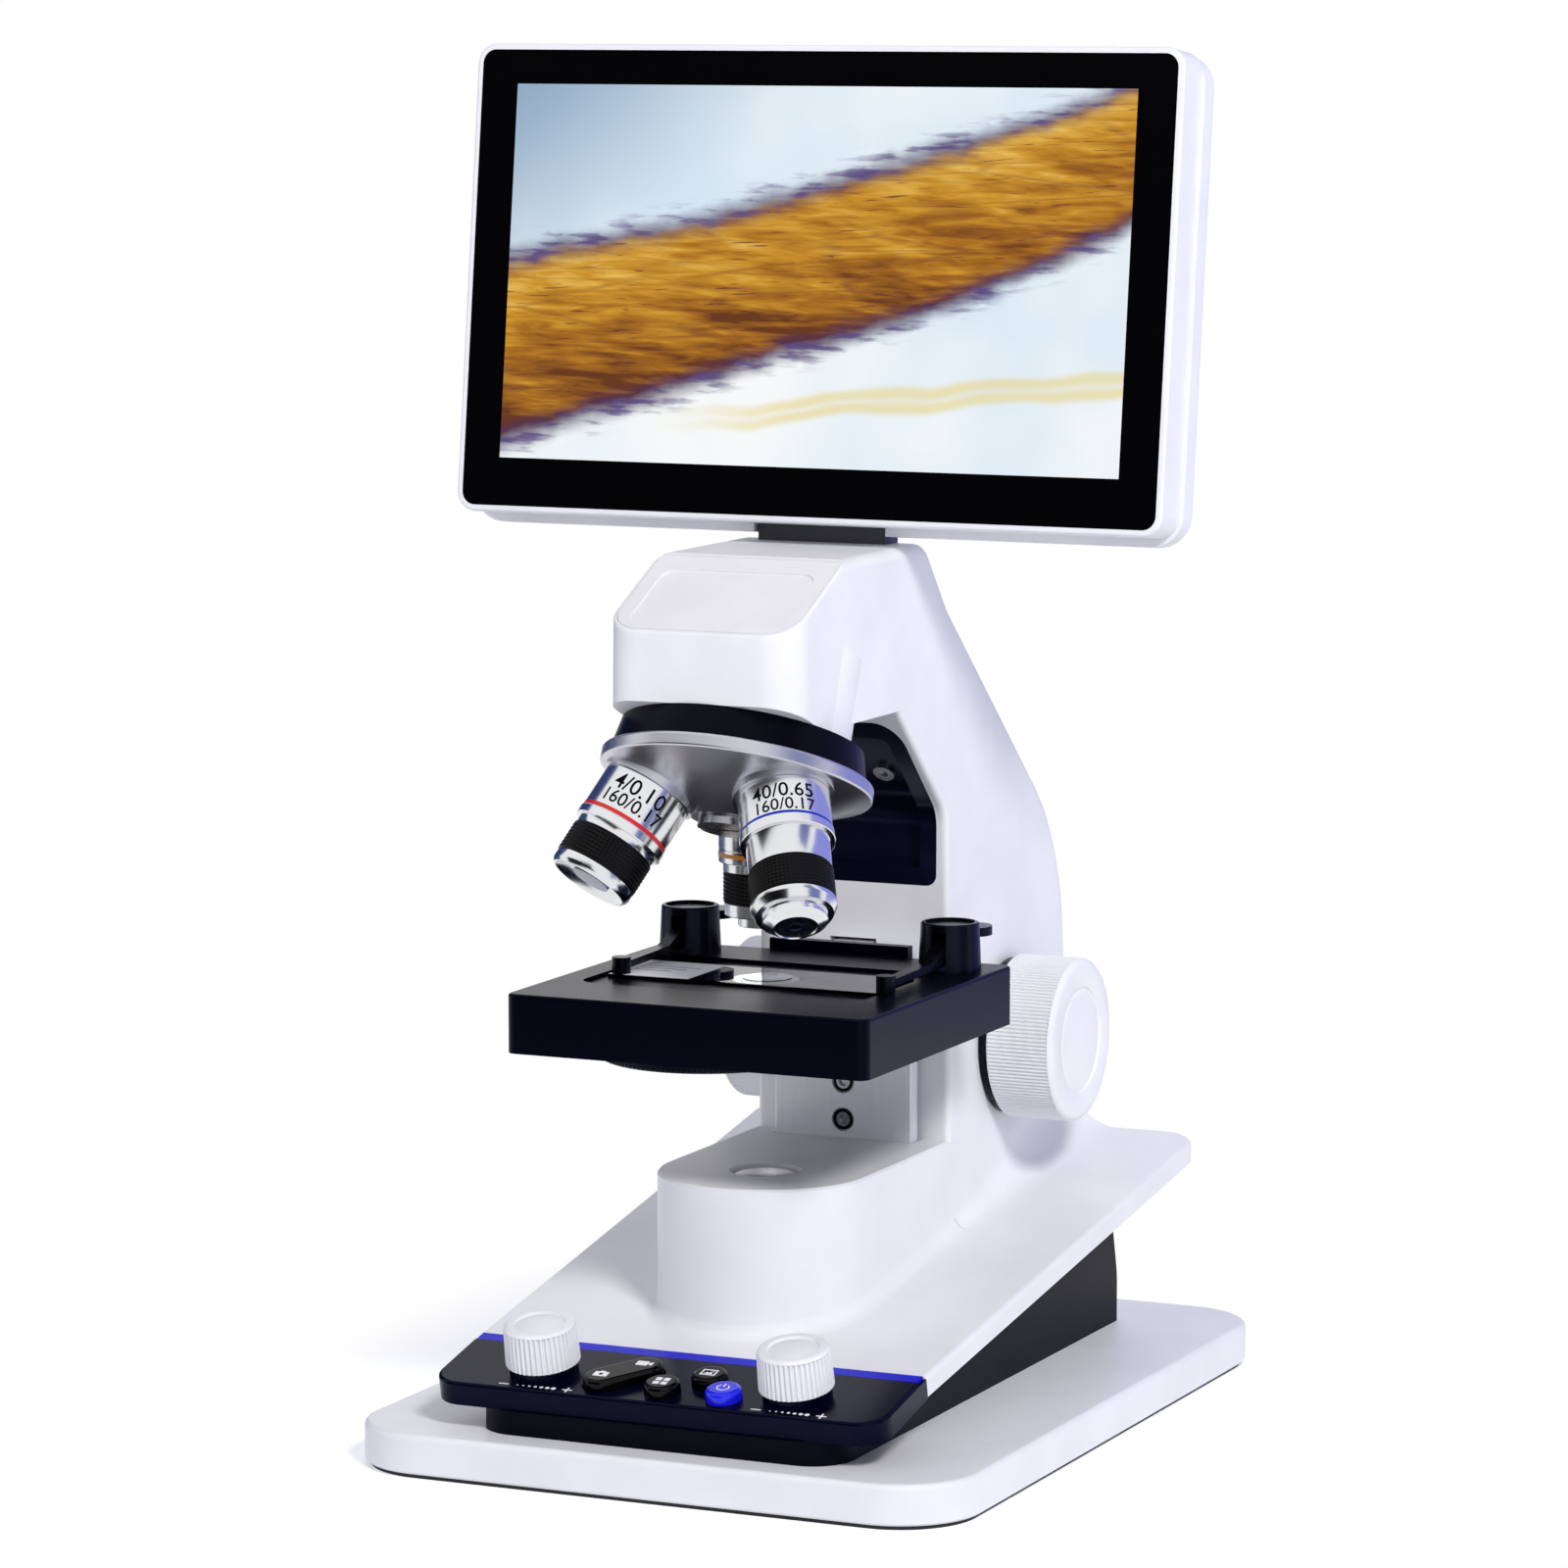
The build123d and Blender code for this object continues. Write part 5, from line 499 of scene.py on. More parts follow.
# ---- the finishes in use
BLUE_GLEAM = (0.50, 0.55, 1.0)
WHITE = Moulded("white_shell", (0.85, 0.85, 0.875), 0.42, specular=0.4)
WHITE_KNOB = Moulded("white_knob", (0.87, 0.87, 0.89), 0.40, grain=3400.0, specular=0.4)
DARK = Moulded("dark_plastic", (0.0015, 0.0015, 0.003), 0.44, depth=5e-6, specular=0.10,
               gleam=BLUE_GLEAM)
NECK_GREY = Moulded("neck_grey", (0.05, 0.052, 0.065), 0.42)
BLACK = Moulded("black_plastic", (0.0012, 0.0012, 0.002), 0.24, depth=3e-6, specular=0.22,
                gleam=BLUE_GLEAM)
INSERT_BLACK = Moulded("insert_black", (0.003, 0.003, 0.012), 0.20, depth=2e-6, specular=0.35,
                       gleam=(0.35, 0.40, 1.0))
NAVY = Moulded("panel_gloss", (0.0007, 0.0010, 0.009), 0.20, depth=2e-6, specular=0.12,
               gleam=BLUE_GLEAM)
STRIPE = Moulded("blue_stripe", (0.004, 0.007, 0.60), 0.30, depth=2e-6, specular=0.12)
BLUE = Moulded("blue_button", (0.006, 0.012, 0.80), 0.18, coat=0.4, depth=2e-6, specular=0.3)
BUTTON_BLACK = Moulded("button_black", (0.0008, 0.0008, 0.0015), 0.14, depth=1e-6, specular=0.16)
STAGE_BLACK = Moulded("stage_black", (0.0005, 0.0005, 0.0026), 0.30, grain=1800.0, depth=3e-6,
                      specular=0.12, gleam=(0.40, 0.45, 1.0))
RUBBER = Moulded("rubber_pad", (0.02, 0.02, 0.022), 0.75, grain=1400.0, depth=2e-5)
SCREEN_BLACK = Moulded("screen_glass", (0.0015, 0.0015, 0.002), 0.10, depth=1e-7, specular=0.08)
CELLS = Moulded("cell_wrap", (0.05, 0.12, 0.40), 0.3, depth=2e-6)
INK = Moulded("white_ink", (0.92, 0.92, 0.94), 0.5, depth=1e-6)
BLACK_INK = Moulded("black_ink", (0.004, 0.004, 0.005), 0.6, depth=1e-6, specular=0.03)
RED_BAND = Moulded("red_band", (0.60, 0.012, 0.015), 0.3, depth=1e-6)
YELLOW_BAND = Moulded("yellow_band", (0.75, 0.27, 0.01), 0.3, depth=1e-6)
BLUE_BAND = Moulded("blue_band", (0.004, 0.022, 0.42), 0.38, depth=1e-6, specular=0.2)
PLATE = Brushed("slide_plate_satin", (0.88, 0.88, 0.94), roughness=0.45, metal=0.3)
EVEN = (900.0, 900.0, 900.0)
STEEL = Brushed("steel", (0.42, 0.43, 0.45), EVEN, 0.26)
BRASS = Brushed("brass", (0.62, 0.44, 0.16), EVEN, 0.30)
GREEN = Board("circuit_green")
DISC = Turned("turret_satin", (0.64, 0.64, 0.70), tuple(RIM_CENTRE), tuple(TURRET_DOWN),
              roughness=0.34, pitch=0.5, depth=2e-6)
MOUNT_BLACK = Moulded("mount_black", (0.0012, 0.0012, 0.002), 0.32, depth=3e-6, specular=0.10,
                      gleam=BLUE_GLEAM)
GRIP_BLACK = Moulded("grip_black", (0.0015, 0.0015, 0.002), 0.36, depth=2e-6, specular=0.16)
LENS = Clear("optic_glass", (0.10, 0.13, 0.22), 0.04)
LAMP_LENS = Clear("lamp_lens", (0.80, 0.80, 0.84), 0.22)
SLIDE_GLASS = Clear("slide_clear", (0.92, 0.96, 0.97), 0.01)
PAPER = Paper("label_paper")
SAMPLE = Moulded("sample_stain", (0.50, 0.42, 0.62), 0.4, depth=1e-6)


def frame_at(origin: Vector, x_dir: Vector, z_dir: Vector) -> Matrix:
    """Makes a placing matrix.

    Args:
        origin: where the new origin lies.
        x_dir: roughly where the new X axis points.
        z_dir: where the new Z axis points.

    Returns:
        The matrix.
    """
    z = z_dir.normalized()
    x = (x_dir - z * x_dir.dot(z)).normalized()
    turned = Matrix((x, z.cross(x), z)).transposed().to_4x4()
    return Matrix.Translation(origin) @ turned


RIGHT = Vector((1.0, 0.0, 0.0))
UP = Vector((0.0, 0.0, 1.0))
FRONT = Vector((0.0, -1.0, 0.0))
FIGURE_SIDE = (0.41, -0.90, 0.13)       # the side of a barrel that carries its figures
PANEL_FRAME = frame_at(PANEL_ORIGIN, RIGHT, PANEL_UP)
SCREEN_FRAME = frame_at(SCREEN_CENTRE, RIGHT, SCREEN_OUT)


class Edge(Enum):
    """How a piece's faces are shaded: the angle beyond which an edge is sharp."""

    FLAT = 0.0
    CRISP = math.radians(28.0)


def add_object(name: str, data: Any) -> bpy.types.Object:
    """Puts an object into the scene.

    Args:
        name: its name.
        data: its mesh, text, light or camera.

    Returns:
        The new object.
    """
    made = bpy.data.objects.new(name, data)
    bpy.context.scene.collection.objects.link(made)
    return made


def only(kind: type, made: dict[str, Any]) -> list[Any]:
    """The parts of one kind in what a bmesh operator made."""
    return [part for part in made["geom"] if isinstance(part, kind)]


class Shape:
    """A mesh being modelled, in millimetres, in its own frame."""

    def __init__(self) -> None:
        """Starts empty."""
        self.mesh = bmesh.new()

    def rings(self, stations: Sequence[Sequence[float]], count: int = 96, flutes: int = 0,
              hollow: bool = False) -> "Shape":
        """Builds a turned body from a circle that is extruded from station to station.

        Args:
            stations: (height, radius) or (height, radius, flute depth) of each ring.
            count: segments of a plain ring.
            flutes: number of flutes; 0 leaves the rings round.
            hollow: joins the last ring to the first, and leaves the middle open.

        Returns:
            The shape itself.
        """
        first = stations[0]
        circle = bmesh.ops.create_circle(self.mesh, cap_ends=False, radius=1.0,
                                         segments=flutes * FLUTE_STEPS or count)
        edges = starts = list(self.mesh.edges)
        self.settle(circle["verts"], first, flutes > 0)
        for station in (*stations[1:], first) if hollow else stations[1:]:
            grown = bmesh.ops.extrude_edge_only(self.mesh, edges=edges)
            edges = only(bmesh.types.BMEdge, grown)
            self.settle(only(bmesh.types.BMVert, grown), station, flutes > 0)
        for ends in () if hollow else (starts, edges):
            bmesh.ops.contextual_create(self.mesh, geom=ends)
        bmesh.ops.remove_doubles(self.mesh, verts=self.mesh.verts, dist=WELD)
        bmesh.ops.recalc_face_normals(self.mesh, faces=self.mesh.faces)
        return self

    @staticmethod
    def settle(loop: Sequence[Any], station: Sequence[float], fluted: bool) -> None:
        """Moves one ring's points to their station.

        Args:
            loop: the ring's points.
            station: (height, radius) or (height, radius, flute depth).
            fluted: whether every second pair of points sinks by the flute depth.
        """
        height, radius = station[:2]
        depth = station[2] if len(station) > 2 else 0.0
        for index, vert in enumerate(sorted(loop, key=lambda v: math.atan2(v.co.y, v.co.x))):
            angle = math.atan2(vert.co.y, vert.co.x)
            low = fluted and index % FLUTE_STEPS >= FLUTE_STEPS // 2
            reach = radius - (depth if low else 0.0)
            vert.co = Vector((reach * math.cos(angle), reach * math.sin(angle), height))

    def slab(self, outline: Sequence[Pair], low: float, high: float) -> "Shape":
        """Adds a slab.

        Args:
            outline: its flat outline.
            low: height of its underside.
            high: height of its top.

        Returns:
            The shape itself.
        """
        face = self.mesh.faces.new([self.mesh.verts.new((x, y, low)) for x, y in outline])
        top = only(bmesh.types.BMVert, bmesh.ops.extrude_face_region(self.mesh, geom=[face]))
        bmesh.ops.translate(self.mesh, verts=top, vec=(0.0, 0.0, high - low))
        bmesh.ops.recalc_face_normals(self.mesh, faces=self.mesh.faces)
        return self

    def disc(self, centre: Pair, radius: float, layer: Pair, count: int = 16) -> "Shape":
        """Adds a round slab.

        Args:
            centre: its middle.
            radius: its radius.
            layer: heights of its underside and its top.
            count: segments of its edge.

        Returns:
            The shape itself.
        """
        x, y = centre
        turns = [2 * math.pi * i / count for i in range(count)]
        outline = [(x + radius * math.cos(a), y + radius * math.sin(a)) for a in turns]
        return self.slab(outline, *layer)

    def box(self, x: Pair, y: Pair, z: Pair) -> "Shape":
        """Adds a rectangular slab."""
        return self.slab([(x[0], y[0]), (x[1], y[0]), (x[1], y[1]), (x[0], y[1])], *z)

    def sheet(self, width: float, height: float) -> "Shape":
        """Adds a flat rectangle round the origin."""
        bmesh.ops.create_grid(self.mesh, x_segments=1, y_segments=1, size=0.5)
        return self.move(Matrix.Diagonal((width, height, 1.0, 1.0)))

    def move(self, matrix: Matrix) -> "Shape":
        """Moves the whole shape."""
        bmesh.ops.transform(self.mesh, matrix=matrix, verts=self.mesh.verts)
        return self

    def wrap(self, radius: float, step: float = 0.5) -> "Shape":
        """Bends a flat shape that lies in X and Y round an upright cylinder, facing X.

        Args:
            radius: the cylinder's radius.
            step: distance between the cuts that let the faces bend.

        Returns:
            The shape itself.
        """
        cuts = math.ceil(max(v.co.x for v in self.mesh.verts) / step)
        for cut in range(-cuts, cuts + 1):
            parts = [*self.mesh.verts, *self.mesh.edges, *self.mesh.faces]
            place = RIGHT * cut * step
            bmesh.ops.bisect_plane(self.mesh, geom=parts, plane_co=place, plane_no=RIGHT)
        for vert in self.mesh.verts:
            angle, reach = vert.co.x / radius, radius + vert.co.z
            vert.co = Vector((reach * math.cos(angle), reach * math.sin(angle), vert.co.y))
        return self

    def to_object(self, name: str, material: Any, at: Optional[Matrix] = None) -> bpy.types.Object:
        """Ends the modelling and makes an object in metres.

        Args:
            name: the object's name.
            material: its material.
            at: where it goes, in millimetres.

        Returns:
            The new object.
        """
        self.move(Matrix.Scale(MM, 4) @ (at or Matrix.Identity(4)))
        data = bpy.data.meshes.new(name)
        self.mesh.to_mesh(data)
        self.mesh.free()
        data.materials.append(material)
        return add_object(name, data)

    def save(self, name: str, finish: Any, body: str, slot: str, nodes: Sequence[str] = (),
             edge: Edge = Edge.CRISP, at: Optional[Matrix] = None) -> None:
        """Ends the modelling and makes the piece.

        Args:
            name: the piece's name.
            finish: its finish.
            body: the body it rides on.
            slot: the record's material slot; not used.
            nodes: CAD nodes that this piece replaces.
            edge: how its faces are shaded.
            at: where it goes, in millimetres.
        """
        piece = self.to_object(name, FINISHES.get(finish), at)
        if edge is not Edge.FLAT:
            piece.data.shade_smooth()
            piece.data.set_sharp_from_angle(angle=edge.value)
        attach(piece, body)
        if nodes:
            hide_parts(*nodes)
        log.info("piece %s: %d faces on %s", name, len(piece.data.polygons), body)


def text_shape(words: str, size: float, thick: float = 0.02, weight: float = 0.007) -> Shape:
    """Numbers set flat in X and Y, centred, as a thin slab.

    Args:
        words: the numbers.
        size: height of the figures.
        thick: thickness of the ink.
        weight: growth of the strokes, as a share of the height.

    Returns:
        The shape.
    """
    curve = bpy.data.curves.new("figures", "FONT")
    curve.body = words
    curve.size = size
    curve.align_x = "CENTER"
    curve.align_y = "CENTER"
    curve.offset = weight * size
    curve.resolution_u = 3
    holder = add_object("figures", curve)
    bpy.context.view_layer.update()
    flat = holder.evaluated_get(bpy.context.evaluated_depsgraph_get())
    data = bpy.data.meshes.new_from_object(flat)
    shape = Shape()
    shape.mesh.from_mesh(data)
    bmesh.ops.remove_doubles(shape.mesh, verts=shape.mesh.verts, dist=WELD)
    grown = bmesh.ops.extrude_face_region(shape.mesh, geom=list(shape.mesh.faces))
    bmesh.ops.translate(shape.mesh, verts=only(bmesh.types.BMVert, grown), vec=(0.0, 0.0, thick))
    bmesh.ops.recalc_face_normals(shape.mesh, faces=shape.mesh.faces)
    bpy.data.objects.remove(holder)
    bpy.data.curves.remove(curve)
    bpy.data.meshes.remove(data)
    return shape


def paint(finish: Any, *nodes: str) -> None:
    """Gives CAD nodes a finish.

    Args:
        finish: the finish.
        nodes: the nodes' names.
    """
    material = FINISHES.get(finish)
    for name in nodes:
        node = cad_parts[name]
        if not node.material_slots:
            node.data.materials.append(material)
        for slot in node.material_slots:
            slot.material = material
        log.info("node %s: %s", name, finish.name)


def round_rect(half: Pair, radius: float, centre: Pair = (0.0, 0.0), steps: int = 3) -> list[Pair]:
    """Makes the outline of a rectangle with round corners.

    Args:
        half: half its width and half its height.
        radius: radius of its corners.
        centre: its middle.
        steps: segments of each corner.

    Returns:
        The outline's points.
    """
    points = []
    for corner, (side_x, side_y) in enumerate(((1, 1), (-1, 1), (-1, -1), (1, -1))):
        for step in range(steps + 1):
            angle = math.pi / 2 * (corner + step / steps)
            points.append((centre[0] + side_x * (half[0] - radius) + radius * math.cos(angle),
                           centre[1] + side_y * (half[1] - radius) + radius * math.sin(angle)))
    return points


# ---- sub-assemblies
@dataclass
class Base:
    """The base plate, its pad, the riser and what is inside them."""

    def build(self) -> None:
        """Dresses the nodes of the base."""
        paint(WHITE, "base_plate")
        paint(RUBBER, "base_pad")
        paint(DARK, "base_riser")
        paint(GREEN, "main_board")
        paint(CELLS, "battery_pack")


@dataclass
class Body:
    """Deck, lamp housing, arm and head."""

    def build(self) -> None:
        """Dresses the nodes of the body."""
        paint(WHITE, "body_shell", "top_cover", "rear_cover")
        paint(INSERT_BLACK, "arm_insert")
        paint(STEEL, "port_socket", "body_screws", "nosepiece_stud", "guide_rails")
        paint(BRASS, "focus_bushes")
        paint(LAMP_LENS, "illuminator_lens")
        paint(GREEN, "led_module", "sensor_board")
        paint(MOUNT_BLACK, "camera_tube", "nosepiece_ring")
        paint(BLACK, "friction_rings")
        paint(NECK_GREY, "screen_neck")


@dataclass
class FocusDrive:
    """Coaxial focus knobs on their shaft."""

    centre: Triple = (0.0, 62.3, 94.2)
    start: float = 30.35
    radius: float = 22.3
    length: float = 19.4
    flute: float = 0.5
    flutes: int = 132
    groove: float = 14.2

    def build(self) -> None:
        """Models both knobs and dresses the drive's other nodes."""
        sides = (-1.0, "focus_knob_left", ()), (1.0, "focus_knob_right", ("focus_knobs",))
        for side, name, nodes in sides:
            out = RIGHT * side
            place = frame_at(Vector(self.centre) + out * self.start, UP, out)
            knob = Shape().rings(self.profile(), flutes=self.flutes)
            knob.save(name, WHITE_KNOB, "focus", "white_shell", nodes, at=place)
        paint(STEEL, "focus_shaft", "focus_rack")
        paint(PLATE, "rack_carriage")

    def profile(self) -> tuple[tuple[float, ...], ...]:
        """A knob's stations, from its back to the groove round its face."""
        r, end, d, g = self.radius, self.length, self.flute, self.groove
        return (
            (0.0, 3.6), (0.0, r - 1.4), (0.5, r - 0.6), (0.9, r, d),
            (end - 1.5, r - 0.05, d), (end - 1.3, r - 0.1), (end - 0.8, r - 0.3),
            (end - 0.3, r - 0.8), (end - 0.05, r - 1.6), (end, r - 2.6),
            (end, g + 0.5), (end - 0.1, g + 0.25), (end - 0.6, g - 0.1),
            (end - 0.65, g - 0.4), (end - 0.4, g - 1.0), (end - 0.3, g - 2.0),
            (end - 0.2, 2.0),
        )


@dataclass
class ControlPanel:
    """The sloping panel with its knobs, buttons and printed marks."""

    knob_x: float = 35.6
    knob_v: float = -18.4
    radius: float = 9.7
    height: float = 11.0
    flutes: int = 44
    flute: float = 0.75
    collar: float = 2.5
    button_top: float = 3.0
    menu: Pair = (0.4, -23.6)
    gallery: Pair = (10.3, -16.1)
    power: Pair = (17.6, -23.7)
    still: Pair = (-16.9, -23.1)
    film: Pair = (-8.5, -14.7)
    marks_v: float = -28.2
    marks_x: Pair = (-33.4, 37.4)
    sign_x: float = 9.0                 # from the middle of a scale to its signs
    sign_arm: float = 1.4
    stroke: float = 0.44
    gap: float = 0.02
    dots: int = 7
    dot_pitch: float = 1.7
    dot_growth: float = 0.075
    ink: Pair = (0.0, 0.03)
    second_ink: Pair = (0.031, 0.04)

    def build(self) -> None:
        """Dresses the panel and models the knobs and the marks."""
        paint(NAVY, "control_panel")
        paint(STRIPE, "panel_stripe")
        paint(STEEL, "rotary_encoders")
        paint(GREEN, "button_board")
        paint(BUTTON_BLACK, "rocker_button", "menu_button", "gallery_button")
        paint(BLUE, "power_button")
        for side, body in ((-1.0, "zoom"), (1.0, "brightness")):
            spot = PANEL_FRAME @ Vector((side * self.knob_x, self.knob_v, self.collar))
            knob = Shape().rings(self.profile(), flutes=self.flutes)
            knob.save(body + "_knob_fluted", WHITE_KNOB, body, "white_shell", [body + "_knob"],
                      at=frame_at(spot, RIGHT, PANEL_UP))
        for centre, name in zip(self.marks_x, ("zoom_marks", "brightness_marks")):
            self.build_marks(centre, name)
        self.build_icons()

    def profile(self) -> tuple[tuple[float, ...], ...]:
        """A knob's stations, from its underside to the dish in its top."""
        r, h, d = self.radius, self.height, self.flute
        return (
            (0.0, 3.0), (0.0, r - 0.9), (0.2, r - 0.2, 0.3), (0.5, r, d), (h - 1.0, r - 0.35, d),
            (h - 0.9, r - 0.4), (h - 0.4, r - 0.6), (h - 0.1, r - 1.0),
            (h, r - 1.6), (h, r - 2.9), (h - 0.15, r - 3.1), (h - 0.6, r - 3.3),
            (h - 0.6, r - 3.7), (h - 0.35, r - 4.2), (h - 0.2, 1.5),
        )

    def build_marks(self, centre: float, name: str) -> None:
        """Prints a scale of growing dots between a minus and a plus.

        Args:
            centre: where its middle lies across the panel.
            name: the piece's name.
        """
        shape = Shape()
        v, arm, half = self.marks_v, self.sign_arm, self.stroke / 2
        for sign in (centre - self.sign_x, centre + self.sign_x):
            shape.box((sign - arm, sign + arm), (v - half, v + half), self.ink)
        for low, high in ((half + self.gap, arm), (-arm, -half - self.gap)):
            shape.box((sign - half, sign + half), (v + low, v + high), self.ink)
        for index in range(self.dots):
            x = centre + self.dot_pitch * (index - self.dots // 2)
            shape.disc((x, v), half + self.dot_growth * index, self.ink)
        shape.save(name, INK, "root", "panel_gloss", at=PANEL_FRAME, edge=Edge.FLAT)

    def icon(self, name: str, body: str, shape: Shape, spot: Pair, finish: Moulded = INK) -> None:
        """Sets a printed picture on a button's top."""
        place = PANEL_FRAME @ Matrix.Translation((*spot, self.button_top))
        shape.save(name, finish, body, "dark_plastic", at=place, edge=Edge.FLAT)

    def build_icons(self) -> None:
        """Models the picture on each button: outlines are in millimetres from its middle."""
        ink = self.ink
        grid = Shape()
        for spot in itertools.product((-1.1, 1.1), repeat=2):
            grid.slab(round_rect((0.84, 0.84), 0.2, spot), *ink)
        self.icon("grid_icon", "menu", grid, self.menu)
        picture = Shape().box((-2.1, 2.1), (1.2, 1.65), ink).box((-2.1, 2.1), (-1.65, -1.2), ink)
        picture.box((-2.1, -1.65), (-1.18, 1.18), ink).box((1.65, 2.1), (-1.18, 1.18), ink)
        picture.slab([(-1.3, -0.95), (1.3, -0.95), (0.55, 0.35), (0.0, -0.35), (-0.5, 0.15)], *ink)
        picture.disc((0.95, 0.62), 0.26, ink, 12)
        self.icon("picture_icon", "gallery", picture, self.gallery)
        arc = [math.radians(125 + i * 290 / 24) for i in range(25)]
        outline = [(1.75 * math.cos(a), 1.75 * math.sin(a)) for a in arc]
        outline += [(1.4 * math.cos(a), 1.4 * math.sin(a)) for a in reversed(arc)]
        power = Shape().slab(outline, *ink).box((-0.19, 0.19), (0.35, 2.0), ink)
        self.icon("power_icon", "power", power, self.power)
        still = Shape().slab(round_rect((1.95, 1.3), 0.3), *ink).box((-0.7, 0.7), (1.32, 1.8), ink)
        self.icon("still_icon", "rocker", still, self.still)
        lens = Shape().disc((0.0, 0.0), 0.62, self.second_ink)
        self.icon("still_icon_lens", "rocker", lens, self.still, BUTTON_BLACK)
        film = Shape().slab(round_rect((1.6, 1.25), 0.25, (-0.6, 0.0)), *ink)
        film.slab([(1.15, -0.38), (2.3, -1.1), (2.3, 1.1), (1.15, 0.38)], *ink)
        self.icon("film_icon", "rocker", film, self.film)


@dataclass
class Objective:
    """One objective: its barrel, grip, coloured band, dark end and engraved figures.

    Stations are distances from the apex along the objective's own axis.
    """

    name: str
    turn: float                         # degrees round the turret from the rear
    profile: tuple[Pair, ...]           # (station, radius)
    grip: Triple                        # start, end, radius
    band: Triple                        # start, end, radius
    band_finish: Moulded
    barrel: float                       # radius that carries the figures
    figures: tuple[tuple[str, float, float], ...]   # (words, station, height)
    end: Pair                           # station, radius
    side: Triple = FIGURE_SIDE
    core: float = 9.7                   # radius of the barrel inside the grip
    knurl: float = 0.28                 # how far each pyramid stands out
    knurl_pitch: float = 1.05
    knurl_count: int = 66               # pyramids round the grip
    grip_rim: float = 0.6               # plain width at each end of the grip
    band_rise: float = 0.03             # how far the band stands out
    band_depth: float = 0.2             # how far it reaches into the barrel
    ink_rise: float = 0.015             # how far the figures stand off the barrel

    def direction(self) -> Vector:
        """The way the objective points."""
        along = TURRET_DOWN * math.cos(TILT)
        across = -UP - along
        sideways = TURRET_DOWN.cross(across)
        turn = math.radians(self.turn)
        return along + across * math.cos(turn) + sideways * math.sin(turn)

    def build(self) -> None:
        """Models the objective's pieces."""
        direction = self.direction()
        place = frame_at(APEX, RIGHT, direction)
        chrome = Turned("chrome_" + self.name, (0.80, 0.81, 0.83), tuple(APEX), tuple(direction),
                        roughness=0.19, pitch=0.30, depth=1.5e-6)
        barrel = Shape().rings(self.profile, count=112)
        barrel.save("barrel_" + self.name, chrome, "turret", "chrome", ["objective_" + self.name],
                    at=place)
        self.build_grip(place)
        low, high, r = self.band
        inner, outer = r - self.band_depth, r + self.band_rise
        stations = (low, inner), (low, outer), (high, outer), (high, inner)
        band = Shape().rings(stations, hollow=True)
        band.save("band_" + self.name, self.band_finish, "turret", "chrome", at=place)
        end, r = self.end
        cell = Shape().rings(((end - 0.5, r - 0.1), (end, r), (end + 0.02, r - 0.2),
                              (end - 0.25, r * 0.55), (end - 0.25, r * 0.45)))
        cell.save("end_" + self.name, MOUNT_BLACK, "turret", "black_metal", at=place)
        for line, (words, station, size) in enumerate(self.figures):
            letters = text_shape(words, size).wrap(self.barrel + self.ink_rise)
            up = frame_at(APEX + direction * station, Vector(self.side), -direction)
            letters.save(f"figures_{self.name}_{line + 1}", BLACK_INK, "turret", "chrome", at=up,
                         edge=Edge.FLAT)

    def build_grip(self, place: Matrix) -> None:
        """Models the knurled grip as a ring that is covered with small pyramids.

        Args:
            place: the objective's frame.
        """
        start, end, r = self.grip
        first, last = start + self.grip_rim, end - self.grip_rim
        rows = max(3, round((last - first) / self.knurl_pitch))
        stations = [(start, self.core), (start, r - 0.5), (start + 0.35, r - 0.1)]
        stations += [(first + (last - first) * i / rows, r - self.knurl) for i in range(rows + 1)]
        stations += [(end - 0.35, r - 0.1), (end, r - 0.5), (end, self.core)]
        grip = Shape().rings(stations, count=self.knurl_count, hollow=True)
        grip.mesh.normal_update()
        # only the faces that look outwards on the knurled length, not the chamfers or the bore
        faces = [face for face in grip.mesh.faces
                 if abs(face.normal.z) < 0.05 and face.calc_center_median().xy.length > r - 0.4]
        bmesh.ops.poke(grip.mesh, faces=faces, offset=self.knurl, center_mode="MEAN")
        grip.save("knurl_" + self.name, GRIP_BLACK, "turret", "knurl_black", ["grip_" + self.name],
                  Edge.FLAT, place)


